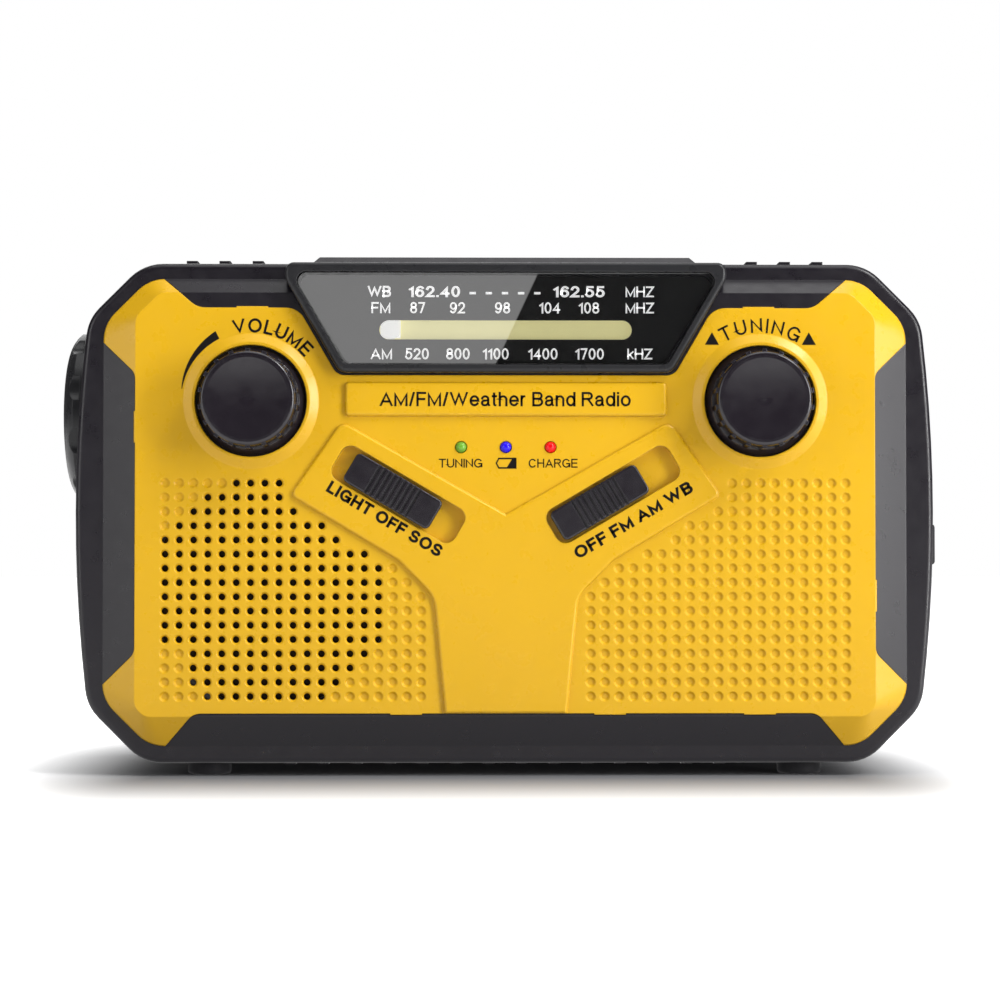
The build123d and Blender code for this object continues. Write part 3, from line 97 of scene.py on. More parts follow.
class Nodes:
    """A short way to write a material's node tree."""

    def __init__(self, name):
        self.material = bpy.data.materials.new(name)
        self.material.use_nodes = True
        self.tree = self.material.node_tree
        self.tree.nodes.clear()
        self.place = self.add("ShaderNodeTexCoord").outputs["Object"]

    def add(self, kind, **values):
        node = self.tree.nodes.new(kind)
        for key, value in values.items():
            if key.startswith("set_"):
                setattr(node, key[4:], value)
            else:
                self.link(value, node.inputs[key.replace("_", " ")])
        return node

    def link(self, value, socket):
        if isinstance(value, bpy.types.NodeSocket):
            self.tree.links.new(value, socket)
        else:
            socket.default_value = value

    def noise(self, size_mm, detail, place=None):
        node = self.add("ShaderNodeTexNoise", Scale=1 / (size_mm * MM), Detail=detail)
        self.tree.links.new(place or self.place, node.inputs["Vector"])
        return node.outputs["Fac"]

    def spread(self, value, low, high, start=0.3, end=0.7):
        node = self.add("ShaderNodeMapRange", Value=value)
        for key, number in (("From Min", start), ("From Max", end), ("To Min", low), ("To Max", high)):
            node.inputs[key].default_value = number
        return node.outputs["Result"]

    def mix(self, factor, first, second, blend="MIX"):
        node = self.tree.nodes.new("ShaderNodeMix")
        node.data_type = "RGBA"
        node.blend_type = blend
        self.link(factor, node.inputs[0])
        self.link(first, node.inputs[6])
        self.link(second, node.inputs[7])
        return node.outputs[2]

    def math(self, operation, first, second=0.0):
        node = self.add("ShaderNodeMath", set_operation=operation)
        self.link(first, node.inputs[0])
        self.link(second, node.inputs[1])
        return node.outputs[0]

    def soft_edge(self, radius_mm):
        return self.add("ShaderNodeBevel", set_samples=6, Radius=radius_mm * MM).outputs["Normal"]

    def grey(self, value):
        return self.add("ShaderNodeCombineColor", Red=value, Green=value, Blue=value).outputs[0]

    def edge_mask(self, normal):
        """1 where the rounded normal leaves the true one, so along edges."""
        true_normal = self.add("ShaderNodeNewGeometry").outputs["True Normal"]
        dot = self.tree.nodes.new("ShaderNodeVectorMath")
        dot.operation = "DOT_PRODUCT"
        self.tree.links.new(normal, dot.inputs[0])
        self.tree.links.new(true_normal, dot.inputs[1])
        return self.spread(dot.outputs["Value"], 1.0, 0.0, 0.80, 0.995)

    def bump(self, height, strength, distance_mm, normal=None):
        node = self.add("ShaderNodeBump", Height=height, Strength=strength, Distance=distance_mm * MM)
        if normal is not None:
            self.tree.links.new(normal, node.inputs["Normal"])
        return node.outputs["Normal"]

    def shader_mix(self, factor, first, second):
        node = self.add("ShaderNodeMixShader")
        for socket, value in zip(node.inputs, (factor, first, second)):
            self.link(value, socket)
        return node.outputs[0]

    def finish(self, shader):
        output = self.add("ShaderNodeOutputMaterial")
        self.tree.links.new(shader, output.inputs["Surface"])
        return self.material

    def principled(self, **values):
        return self.finish(self.add("ShaderNodeBsdfPrincipled", **values).outputs[0])


def darker(colour, share):
    return tuple(channel * share for channel in colour[:3]) + (1.0,)


def plastic(name, colour, rough, grain_mm, grain, edge_mm, tint, edge_wear_and_highlight, coat=0.0, sheen=0.25):
    """Moulded plastic: fine grain, slow colour drift, softened edges painted slightly lighter, partly as wear
    and partly as a painted highlight.
    """
    nodes = Nodes(name)
    normal = nodes.soft_edge(edge_mm)
    drift = nodes.spread(nodes.noise(18, 3), 1 - tint, 1 + tint)
    base = nodes.mix(1.0, colour, nodes.grey(drift), "MULTIPLY")
    # Edges painted lighter where the noise allows: partly edge wear, partly a painted highlight along the
    # rounded edges.
    scuff_and_highlight = nodes.math("MULTIPLY", nodes.edge_mask(normal), nodes.spread(nodes.noise(4, 4), 0.2, 1.0))
    lighter = tuple(min(1.0, channel * 1.5 + 0.05) for channel in colour[:3]) + (1.0,)
    base = nodes.mix(nodes.math("MULTIPLY", scuff_and_highlight, edge_wear_and_highlight), base, lighter)
    rough_map = nodes.spread(nodes.noise(2.5, 4), rough - 0.05, rough + 0.06)
    normal = nodes.bump(nodes.noise(grain_mm, 2), grain, 0.05, normal)
    return nodes.principled(
        Base_Color=base, Roughness=rough_map, Normal=normal, Coat_Weight=coat, Specular_IOR_Level=sheen,
    )


def metal(name, colour, rough, brush_axis):
    """Bare or plated metal, brushed along one axis."""
    nodes = Nodes(name)
    stretch = [1.0, 1.0, 1.0]
    stretch[brush_axis] = 0.03
    place = nodes.add("ShaderNodeMapping", Vector=nodes.place, Scale=tuple(stretch)).outputs[0]
    streaks = nodes.noise(0.15, 3, place)
    rough_map = nodes.spread(streaks, rough - 0.08 * rough, rough + 0.5 * rough)
    normal = nodes.bump(streaks, 0.08, 0.02, nodes.soft_edge(0.15))
    smudge = nodes.spread(nodes.noise(6, 3), 0.88, 1.0)
    base = nodes.mix(1.0, colour, nodes.grey(smudge), "MULTIPLY")
    return nodes.principled(Base_Color=base, Metallic=1.0, Roughness=rough_map, Normal=normal)


def see_through(nodes):
    """Light passes straight through, and the surface still mirrors at a slant."""
    fresnel = nodes.add("ShaderNodeFresnel", IOR=CLEAR_PLASTIC_IOR).outputs[0]
    through = nodes.add("ShaderNodeBsdfTransparent").outputs[0]
    dust = nodes.spread(nodes.noise(1.5, 4), 0.02, 0.032)
    shine = nodes.add("ShaderNodeBsdfGlossy", Roughness=dust).outputs[0]
    return nodes.shader_mix(fresnel, through, shine)


def clear(name):
    """Thin clear plastic."""
    nodes = Nodes(name)
    return nodes.finish(see_through(nodes))


def painted_board_reflection(nodes):
    """1 where the surface would mirror an imagined bright slanting-edged board beside the camera: the mask of
    a painted reflection.
    """
    place = nodes.add("ShaderNodeSeparateXYZ", Vector=nodes.add("ShaderNodeNewGeometry").outputs["Position"])
    way = nodes.add("ShaderNodeSeparateXYZ", Vector=nodes.add("ShaderNodeTexCoord").outputs["Reflection"])
    corner = panel(BOARD_CORNER_X, BOARD_LOW, CAMERA_DISTANCE)
    run = nodes.math("DIVIDE", nodes.math("SUBTRACT", corner.y, place.outputs["Y"]), way.outputs["Y"])
    hit_x = nodes.math("ADD", place.outputs["X"], nodes.math("MULTIPLY", way.outputs["X"], run))
    hit_z = nodes.math("ADD", place.outputs["Z"], nodes.math("MULTIPLY", way.outputs["Z"], run))
    rise = nodes.math("SUBTRACT", hit_z, corner.z)
    edge = nodes.math("ADD", nodes.math("MULTIPLY", rise, BOARD_SLANT), corner.x)
    inside = nodes.spread(nodes.math("SUBTRACT", edge, hit_x), 0.0, 1.0, 0.0, BOARD_BLUR * MM)
    above = nodes.math("GREATER_THAN", hit_z, corner.z)
    near = nodes.math("LESS_THAN", nodes.math("ABSOLUTE", hit_x), BOARD_REACH * MM)
    ahead = nodes.math("GREATER_THAN", run, 0.0)
    on_board = nodes.math("MULTIPLY", inside, above)
    return nodes.math("MULTIPLY", on_board, nodes.math("MULTIPLY", near, ahead))


def dial_glass(name):
    """The dial's clear window, with a painted reflection of one bright board over its left half."""
    nodes = Nodes(name)
    reflection_brightness = nodes.spread(nodes.noise(30, 2), PAINTED_REFLECTION_LOW, PAINTED_REFLECTION_HIGH)
    # Painted reflection: the imagined board's brightness is emission on the window.
    glow = nodes.math("MULTIPLY", painted_board_reflection(nodes), reflection_brightness)
    board = nodes.add("ShaderNodeEmission", Color=WHITE, Strength=glow).outputs[0]
    both = nodes.add("ShaderNodeAddShader")
    nodes.link(see_through(nodes), both.inputs[0])
    nodes.link(board, both.inputs[1])
    return nodes.finish(both.outputs[0])


def ink(name, colour, rough, glow=0.0):
    """Pad-printed ink: slightly uneven density over a faint film texture; glow adds a painted glow."""
    nodes = Nodes(name)
    density = nodes.spread(nodes.noise(0.3, 3), 0.9, 1.06)
    normal = nodes.bump(nodes.noise(0.12, 2), 0.15, 0.02)
    base = nodes.mix(1.0, colour, nodes.grey(density), "MULTIPLY")
    return nodes.principled(
        Base_Color=base, Roughness=rough, Normal=normal, Specular_IOR_Level=0.1,
        Emission_Color=base, Emission_Strength=glow,
    )


def lit(name, colour, glow):
    """Translucent plastic with a painted glow, as if lit from behind; no lamp is behind it."""
    nodes = Nodes(name)
    cloud = nodes.mix(nodes.noise(4, 3), colour, darker(colour, 0.93))
    normal = nodes.bump(nodes.noise(0.4, 2), 0.05, 0.02)
    return nodes.principled(
        Base_Color=cloud, Roughness=0.5, Normal=normal, Emission_Color=cloud, Emission_Strength=glow,
    )


def weave(name, colour, thread_mm=0.35):
    """Woven cloth or winding: crossed threads as bump and shade."""
    nodes = Nodes(name)
    waves = []
    for direction in ("X", "Z"):
        wave = nodes.add("ShaderNodeTexWave", set_bands_direction=direction, Scale=0.05 / (thread_mm * MM))
        nodes.tree.links.new(nodes.place, wave.inputs["Vector"])
        waves.append(wave.outputs["Fac"])
    height = nodes.math("MULTIPLY", waves[0], waves[1])
    base = nodes.mix(height, darker(colour, 0.35), colour)
    return nodes.principled(Base_Color=base, Roughness=0.9, Normal=nodes.bump(height, 0.5, 0.1))


def lamp_lens(name, colour):
    """Coloured epoxy: a soft sheen and a faint glow, with painted shade that darkens it towards the rim, so
    it is brighter towards the middle.
    """
    nodes = Nodes(name)
    facing = nodes.add("ShaderNodeLayerWeight", Blend=0.35).outputs["Facing"]
    # Painted shade: darker where the lens turns away from the eye.
    base = nodes.mix(facing, colour, darker(colour, 0.4))
    normal = nodes.bump(nodes.noise(0.5, 2), 0.03, 0.02)
    return nodes.principled(
        Base_Color=base, Roughness=0.25, Normal=normal, Coat_Weight=0.2, Specular_IOR_Level=0.25,
        Emission_Color=base, Emission_Strength=0.04,
    )


def solar_surface(name):
    """Dark blue silicon in strips, with fine silver fingers and busbars under a glossy resin."""
    nodes = Nodes(name)
    split = nodes.add("ShaderNodeSeparateXYZ", Vector=nodes.place)

    def lines(coordinate, pitch_mm, width):
        phase = nodes.math("FRACT", nodes.math("MULTIPLY", coordinate, 1 / (pitch_mm * MM)))
        return nodes.math("LESS_THAN", phase, width)

    fingers = lines(split.outputs["X"], 1.05, 0.12)
    strips = lines(split.outputs["X"], 10.5, 0.07)
    buses = lines(split.outputs["Y"], 9.0, 0.09)
    crystal = nodes.mix(nodes.noise(3, 3), srgb(10, 14, 34), srgb(22, 32, 66))
    base = nodes.mix(fingers, crystal, srgb(58, 66, 92))
    base = nodes.mix(buses, base, srgb(120, 124, 132))
    base = nodes.mix(strips, base, srgb(8, 9, 14))
    return nodes.principled(Base_Color=base, Roughness=0.22, Coat_Weight=0.8, Coat_Roughness=0.06)


# Colour, roughness, size (mm) and strength of the grain, softened edge (mm), colour drift and the lightening
# of edges (edge wear and painted highlight).
PLASTICS = {
    "yellow_plastic": (srgb(204, 158, 18), 0.3, 0.22, 0.04, 0.3, 0.015, 0.02),
    "black_plastic": (srgb(22, 19, 25), 0.31, 0.3, 0.12, 0.35, 0.06, 0.16),
    "bezel_plastic": (srgb(34, 34, 36), 0.3, 0.3, 0.06, 0.3, 0.04, 0.2),
    "knob_plastic": (srgb(26, 22, 28), 0.2, 0.25, 0.04, 0.2, 0.05, 0.15),
    "dial_black": (srgb(12, 12, 13), 0.5, 0.4, 0.005, 0.1, 0.03, 0.0),
    "ferrite": (srgb(52, 52, 56), 0.65, 0.15, 0.4, 0.2, 0.1, 0.3),
    "board": (srgb(24, 92, 48), 0.35, 0.8, 0.15, 0.1, 0.12, 0.1),
    "component_body": (srgb(66, 68, 74), 0.45, 0.3, 0.15, 0.25, 0.06, 0.18),
    "cell_wrap": (srgb(52, 104, 66), 0.25, 0.6, 0.05, 0.2, 0.1, 0.1),
    "rubber": (srgb(34, 33, 36), 0.7, 0.2, 0.4, 0.25, 0.08, 0.1),
}
GLOSS = {
    "yellow_plastic": {"sheen": 0.35},
    "black_plastic": {"sheen": 0.36},
    "knob_plastic": {"sheen": 0.5},
    "board": {"coat": 0.3},
    "cell_wrap": {"coat": 0.4},
}
MATERIALS = {
    # The dial's cream backing and the white plastic carry a painted glow.
    "dial_cream": lit("dial_cream", srgb(204, 198, 142), 0.72),
    "white_plastic": lit("white_plastic", srgb(238, 238, 236), 0.5),
    "clear_plastic": clear("clear_plastic"),
    "cord": weave("cord", srgb(196, 190, 176), 0.2),
    "green_lens": lamp_lens("green_lens", srgb(104, 160, 48)),
    "blue_lens": lamp_lens("blue_lens", srgb(34, 10, 226)),
    "red_lens": lamp_lens("red_lens", srgb(240, 4, 18)),
    "steel": metal("steel", srgb(186, 188, 192), 0.3, 2),
    "chrome": metal("chrome", srgb(224, 226, 230), 0.12, 0),
    "cloth": weave("cloth", srgb(30, 30, 32)),
    "paper": weave("paper", srgb(50, 48, 46), 0.8),
    "solar_glass": solar_surface("solar_glass"),
}
for slot, look in PLASTICS.items():
    MATERIALS[slot] = plastic(slot, *look, **GLOSS.get(slot, {}))
DIAL_GLASS = dial_glass("dial_glass")
INK_BLACK = ink("ink_black", srgb(16, 14, 14), 0.7)
# The white dial print carries a painted glow that brightens it in the shaded dial.
INK_WHITE = ink("ink_white", srgb(250, 250, 250), 0.6, 0.55)


def dress_frame():
    """Give every carried-over CAD node the material of its slot."""
    for part in frame["record"]["subparts"]:
        node = frame["nodes"][part["node"]]
        node.data.materials.clear()
        node.data.materials.append(MATERIALS[part["material_slot"]])
    frame["nodes"]["dial_window"].data.materials[0] = DIAL_GLASS


# ---------------------------------------------------------------- lettering
def arc(x, y, wide, high, start, end):
    """Points along an ellipse, angles in degrees anticlockwise from the right."""
    steps = max(3, round(abs(end - start) / 15))
    angles = [math.radians(start + (end - start) * index / steps) for index in range(steps + 1)]
    return [(x + wide * math.cos(angle), y + high * math.sin(angle)) for angle in angles]


SHOULDER = [(0, 0.45)] + arc(0.5, 0.45, 0.5, 0.28, 180, 0) + [(1, 0)]

# A plain sans serif: the width of each letter, and the middle lines of its strokes in a box that is one
# capital high and one unit each way. Small letters reach 0.73.
LETTERS = {
    "A": (0.88, [[(0, 0), (0.5, 1), (1, 0)], [(0.2, 0.3), (0.8, 0.3)]]),
    "B": (0.74, [[(0, 0), (0, 1), (0.6, 1)] + arc(0.6, 0.765, 0.34, 0.235, 90, -90) + [(0, 0.53)],
                 [(0.6, 0.53)] + arc(0.6, 0.265, 0.4, 0.265, 90, -90) + [(0, 0)]]),
    "C": (0.86, [arc(0.5, 0.5, 0.5, 0.5, 42, 318)]),
    "E": (0.70, [[(1, 1), (0, 1), (0, 0), (1, 0)], [(0, 0.52), (0.93, 0.52)]]),
    "F": (0.66, [[(1, 1), (0, 1), (0, 0)], [(0, 0.5), (0.88, 0.5)]]),
    "G": (0.90, [arc(0.5, 0.5, 0.5, 0.5, 42, 335) + [(1, 0.45), (0.58, 0.45)], [(1, 0.45), (1, 0.06)]]),
    "H": (0.78, [[(0, 0), (0, 1)], [(1, 0), (1, 1)], [(0, 0.52), (1, 0.52)]]),
    "I": (0.0, [[(0, 0), (0, 1)]]),
    "L": (0.62, [[(0, 1), (0, 0), (1, 0)]]),
    "M": (0.90, [[(0, 0), (0, 1), (0.5, 0), (1, 1), (1, 0)]]),
    "N": (0.78, [[(0, 0), (0, 1), (1, 0), (1, 1)]]),
    "O": (0.94, [arc(0.5, 0.5, 0.5, 0.5, 0, 360)]),
    "R": (0.80, [[(0, 0), (0, 1), (0.6, 1)] + arc(0.6, 0.76, 0.34, 0.24, 90, -90) + [(0, 0.52)],
                 [(0.55, 0.52), (1, 0)]]),
    "S": (0.76, [arc(0.5, 0.745, 0.45, 0.255, 25, 262) + arc(0.5, 0.25, 0.5, 0.25, 82, -155)]),
    "T": (0.78, [[(0, 1), (1, 1)], [(0.5, 1), (0.5, 0)]]),
    "U": (0.78, [[(0, 1), (0, 0.35)] + arc(0.5, 0.35, 0.5, 0.35, 180, 360) + [(1, 1)]]),
    "V": (0.86, [[(0, 1), (0.5, 0), (1, 1)]]),
    "W": (1.22, [[(0, 1), (0.26, 0), (0.5, 1), (0.74, 0), (1, 1)]]),
    "Z": (0.74, [[(0, 1), (1, 1), (0, 0), (1, 0)]]),
    "/": (0.38, [[(0, 0), (1, 1)]]),
    ".": (0.0, [[(0, 0), (0, 0.001)]]),
    "a": (0.62, [arc(0.45, 0.5, 0.43, 0.23, 165, 0) + [(0.88, 0.12), (1, 0)],
                 [(0.88, 0.43), (0.4, 0.38)] + arc(0.36, 0.19, 0.36, 0.19, 90, 270)
                 + arc(0.4, 0.25, 0.48, 0.25, 285, 350)]),
    "d": (0.64, [[(1, 0), (1, 1)], arc(0.5, 0.365, 0.5, 0.365, 0, 360)]),
    "e": (0.66, [[(0.04, 0.37), (1, 0.37)] + arc(0.5, 0.365, 0.5, 0.365, 10, 322)]),
    "h": (0.60, [[(0, 0), (0, 1)], SHOULDER]),
    "i": (0.0, [[(0, 0), (0, 0.73)], [(0, 1), (0, 0.999)]]),
    "k": (0.58, [[(0, 0), (0, 1)], [(1, 0.73), (0, 0.25)], [(0.38, 0.43), (1, 0)]]),
    "n": (0.60, [[(0, 0), (0, 0.73)], SHOULDER]),
    "o": (0.68, [arc(0.5, 0.365, 0.5, 0.365, 0, 360)]),
    "r": (0.38, [[(0, 0), (0, 0.73)], [(0, 0.4)] + arc(0.8, 0.42, 0.8, 0.31, 180, 90)]),
    "t": (0.36, [[(0.4, 0.95), (0.4, 0.2)] + arc(0.8, 0.18, 0.4, 0.18, 180, 270),
                 [(0, 0.73), (1, 0.73)]]),
    "0": (0.62, [arc(0.5, 0.5, 0.5, 0.5, 0, 360)]),
    "1": (0.36, [[(0, 0.74), (1, 1), (1, 0)]]),
    "2": (0.62, [arc(0.5, 0.71, 0.48, 0.29, 170, -45) + [(0, 0), (1, 0)]]),
    "4": (0.66, [[(0.74, 0), (0.74, 1), (0, 0.28), (1, 0.28)]]),
    "5": (0.62, [[(0.92, 1), (0.18, 1), (0.08, 0.52)] + arc(0.46, 0.33, 0.54, 0.33, 128, -155)]),
    "6": (0.62, [arc(0.5, 0.31, 0.5, 0.31, 0, 360), arc(0.58, 0.42, 0.58, 0.58, 188, 52)]),
    "7": (0.60, [[(0, 1), (1, 1), (0.35, 0)]]),
    "8": (0.62, [arc(0.5, 0.765, 0.43, 0.235, 0, 360), arc(0.5, 0.27, 0.5, 0.27, 0, 360)]),
    "9": (0.62, [arc(0.5, 0.69, 0.5, 0.31, 0, 360), arc(0.42, 0.58, 0.58, 0.58, 8, -128)]),
}
# Spaces and widths of strokes, in heights of a capital
WORD_SPACE, LETTER_GAP, ARC_GAP = 0.42, 0.11, 0.2
THIN, REGULAR, TITLE_STROKE, VOLUME_STROKE, CHANNEL_STROKE, BOLD = 0.14, 0.145, 0.15, 0.17, 0.175, 0.215
MIN_MITRE = 0.25                           # limits how far a stroke's corner reaches out
PRINT_THICKNESS = 0.03                     # millimetres


def stroke_sides(points, half, closed):
    """The two sides of a stroke, with mitred corners and square ends."""
    points = [Vector(point) for point in points]
    if closed:
        points = points[:-1]
    else:
        points[0] = points[0] + (points[0] - points[1]).normalized() * half
        points[-1] = points[-1] + (points[-1] - points[-2]).normalized() * half
    left, right = [], []
    for index, point in enumerate(points):
        before = points[index - 1] if closed or index else None
        after = points[(index + 1) % len(points)] if closed or index + 1 < len(points) else None
        into = (point - before).normalized() if before is not None else (after - point).normalized()
        away = (after - point).normalized() if after is not None else into
        middle = (into + away).normalized()
        across = Vector((-middle.y, middle.x))
        reach = half / max(MIN_MITRE, across.dot(Vector((-into.y, into.x))))
        left.append(point + across * reach)
        right.append(point - across * reach)
    return left, right


def add_stroke(shape, points, half, shift):
    """One stroke as a thin closed prism, cut off level at the top and the foot of its letter."""
    closed = (Vector(points[0]) - Vector(points[-1])).length < 1e-6
    left, right = stroke_sides(points, half, closed)
    low = min(y for x, y in points) - half
    high = max(y for x, y in points) + half
    rings = []
    for first, second in zip(left, right):
        corners = []
        for place, level in ((first, 0.0), (second, 0.0), (second, 1.0), (first, 1.0)):
            corners.append(shape.verts.new((place.x + shift, min(max(place.y, low), high), level)))
        rings.append(corners)
    pairs = list(zip(rings, rings[1:]))
    if closed:
        pairs.append((rings[-1], rings[0]))
    else:
        shape.faces.new(rings[0])
        shape.faces.new(reversed(rings[-1]))
    for first, second in pairs:
        for index in range(4):
            after = (index + 1) % 4
            shape.faces.new((first[index], second[index], second[after], first[after]))


def word_mesh(text, weight):
    """A text as a mesh whose capitals are one unit high, and its width."""
    shape = bmesh.new()
    cursor = 0.0
    for letter in text:
        if letter == " ":
            cursor += WORD_SPACE - LETTER_GAP
            continue
        width, strokes = LETTERS[letter]
        width = max(width, weight)
        for stroke in strokes:
            inner = [
                (weight / 2 + x * (width - weight), weight / 2 + y * (1 - weight)) for x, y in stroke
            ]
            add_stroke(shape, inner, weight / 2, cursor)
        cursor += width + LETTER_GAP
    mesh = bpy.data.meshes.new("word")
    shape.to_mesh(mesh)
    shape.free()
    return mesh, cursor - LETTER_GAP


def face_matrix(x, z, out, angle):
    """Lays a flat drawing (local x right, local y up) on the front, turned by angle degrees."""
    return (
        Matrix.Translation(panel(x, z, out))
        @ Matrix.Rotation(math.radians(90), 4, "X")
        @ Matrix.Rotation(math.radians(angle), 4, "Z")
    )


def collect(target, mesh, matrix):
    """Moves a mesh, transformed, into a bmesh."""
    mesh.transform(matrix)
    target.from_mesh(mesh)
    bpy.data.meshes.remove(mesh)


def print_text(target, text, x, z, cap, out, angle=0.0, weight=REGULAR, width=None):
    """Prints a centred text; cap is the height of its capitals and width its length, in millimetres."""
    mesh, length = word_mesh(text, weight)
    across = cap if width is None else width / length
    centre = Matrix.Translation((-length / 2, -0.5, 0))
    size = Matrix.Diagonal((across * MM, cap * MM, PRINT_THICKNESS * MM, 1))
    collect(target, mesh, face_matrix(x, z, out, angle) @ size @ centre)


def print_arc(target, text, x, z, radius, start, end, cap, weight):
    """Prints letters round an arc, from start to end in degrees clockwise from the top."""
    widths = [max(LETTERS[letter][0], weight) for letter in text]
    total = sum(widths) + ARC_GAP * (len(text) - 1)
    run = 0.0
    for letter, width in zip(text, widths):
        turn = start + (end - start) * (run + width / 2) / total
        angle = math.radians(turn)
        place = (x + radius * math.sin(angle), z + radius * math.cos(angle))
        print_text(target, letter, *place, cap, 0.0, -turn, weight)
        run += width + ARC_GAP


def flat_shape(target, points, x, z, out=0.0):
    """A thin printed shape from its outline in millimetres."""
    shape = bmesh.new()
    corners = [shape.verts.new((px * MM, py * MM, 0)) for px, py in points]
    face = shape.faces.new(corners)
    raised = bmesh.ops.extrude_face_region(shape, geom=[face])
    moved = [item for item in raised["geom"] if isinstance(item, bmesh.types.BMVert)]
    bmesh.ops.translate(shape, verts=moved, vec=(0, 0, PRINT_THICKNESS * MM))
    bmesh.ops.recalc_face_normals(shape, faces=shape.faces)
    mesh = bpy.data.meshes.new("shape")
    shape.to_mesh(mesh)
    shape.free()
    collect(target, mesh, face_matrix(x, z, out, 0))


def printed(name, target, material):
    """Turns the collected printing into one piece of the casing."""
    bmesh.ops.recalc_face_normals(target, faces=target.faces)
    mesh = bpy.data.meshes.new(name)
    target.to_mesh(mesh)
    target.free()
    mesh.materials.append(material)
    piece = bpy.data.objects.new(name, mesh)
    bpy.context.scene.collection.objects.link(piece)
    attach(piece, "casing")


# ---------------------------------------------------------------- printing on the cover and the dial
# Places as above, in millimetres and degrees. A name that ends in CAP is the height of the capitals.
TITLE_CAP, KNOB_CAP, SWITCH_CAP, LAMP_CAP, DIAL_CAP, UNIT_CAP = 2.75, 2.75, 2.35, 1.7, 2.15, 2.05
TITLE_X, TITLE_Z, TITLE_WIDTH = -0.1, 71.85, 47.7
# Radius, start and end of the words round the knobs, clockwise from the top
VOLUME_ARC = (14.4, -14.0, 50.0)
TUNING_ARC = (14.5, -31.5, 32.5)
ARROW_XS, ARROW_Z, ARROW_HALF_WIDTH, ARROW_HALF_HEIGHT = (39.3, 57.8), 83.5, 1.35, 1.2
LAMP_LABEL_Z = 59.7
CRESCENT_START, CRESCENT_END, CRESCENT_STEPS = -80.0, -27.0, 24
CRESCENT_RADIUS, CRESCENT_THIN, CRESCENT_GROWTH = 13.3, 0.12, 1.5
SYMBOL_LINE = 0.3                          # width of the battery symbol's lines
UNIT_X, CHANNEL_WIDTH = 25.6, 9.8
DASHES, DASH_START, DASH_PITCH, DASH_Z = 5, -6.3, 3.08, 92.2
DASH_WIDTH, DASH_HEIGHT = 1.2, 0.45
# Each row of the dial: height, unit, stroke weight, and its words with their places.
DIAL_ROWS = (
    (92.5, "MHZ", CHANNEL_STROKE, {"WB": -24.1, "162.40": -13.6, "162.55": 14.0}),
    (89.4, "MHZ", REGULAR, {"FM": -23.8, "87": -16.8, "92": -9.2, "98": -0.6, "104": 8.4, "108": 15.9}),
    (80.6, "kHZ", REGULAR, {"AM": -23.7, "520": -16.9, "800": -9.1, "1100": -1.9, "1400": 7.1, "1700": 16.0}),
)


def bar(width, height):
    """The outline of a rectangle about the origin."""
    x, y = width / 2, height / 2
    return [(-x, -y), (x, -y), (x, y), (-x, y)]


def switch_label(target, side, words, along, below, width):
    """Words along the lower edge of the left (side -1) or right (side 1) slanted switch."""
    slant = math.radians(side * SWITCH_ANGLE)
    x = side * SWITCH_X + along * math.cos(slant) + side * below * math.sin(abs(slant))
    z = SWITCH_Z + along * math.sin(slant) - below * math.cos(slant)
    print_text(target, words, x, z, SWITCH_CAP, RELIEF, side * SWITCH_ANGLE, BOLD, width)


def volume_crescent(target):
    """A tapering arc round the volume knob's upper left."""
    inner, outer = [], []
    for index in range(CRESCENT_STEPS + 1):
        share = index / CRESCENT_STEPS
        angle = math.radians(CRESCENT_START + (CRESCENT_END - CRESCENT_START) * share)
        outside = CRESCENT_RADIUS + CRESCENT_THIN + CRESCENT_GROWTH * share
        inner.append((CRESCENT_RADIUS * math.sin(angle), CRESCENT_RADIUS * math.cos(angle)))
        outer.append((outside * math.sin(angle), outside * math.cos(angle)))
    for index in range(CRESCENT_STEPS):
        quad = [inner[index], inner[index + 1], outer[index + 1], outer[index]]
        flat_shape(target, quad, -KNOB_X, KNOB_Z)


def battery_symbol(target, x, z):
    """An outlined cell with a pointed left end, its right end filled in at a slant."""
    for side in (-1, 1):
        flat_shape(target, bar(3.3, SYMBOL_LINE), x + 0.3, z + 0.9 * side)
        point = [(-1.95, 0), (-1.65, 0), (-1.1, 1.05 * side), (-1.4, 1.05 * side)]
        flat_shape(target, point[::side], x, z)
    flat_shape(target, bar(SYMBOL_LINE, 2.1), x + 1.9, z)
    flat_shape(target, [(0.2, -0.8), (1.8, -0.8), (1.8, 0.8), (1.2, 0.8)], x, z)


def cover_printing():
    target = bmesh.new()
    title = "AM/FM/Weather Band Radio"
    print_text(target, title, TITLE_X, TITLE_Z, TITLE_CAP, RELIEF, 0, TITLE_STROKE, TITLE_WIDTH)
    print_arc(target, "VOLUME", -KNOB_X, KNOB_Z, *VOLUME_ARC, KNOB_CAP, VOLUME_STROKE)
    print_arc(target, "TUNING", KNOB_X, KNOB_Z, *TUNING_ARC, KNOB_CAP, THIN)
    volume_crescent(target)
    for x in ARROW_XS:
        foot = -ARROW_HALF_HEIGHT
        arrow = [(-ARROW_HALF_WIDTH, foot), (ARROW_HALF_WIDTH, foot), (0.0, ARROW_HALF_HEIGHT)]
        flat_shape(target, arrow, x, ARROW_Z)
    switch_label(target, -1, "LIGHT OFF SOS", along=0.2, below=5.3, width=24.8)
    switch_label(target, 1, "OFF FM AM WB", along=0.8, below=6.1, width=25.6)
    for word, x, width in (("TUNING", -8.6, 8.3), ("CHARGE", 9.0, 9.3)):
        print_text(target, word, x, LAMP_LABEL_Z, LAMP_CAP, 0, 0, THIN, width)
    battery_symbol(target, 0.0, LAMP_LABEL_Z)
    printed("cover_printing", target, INK_BLACK)


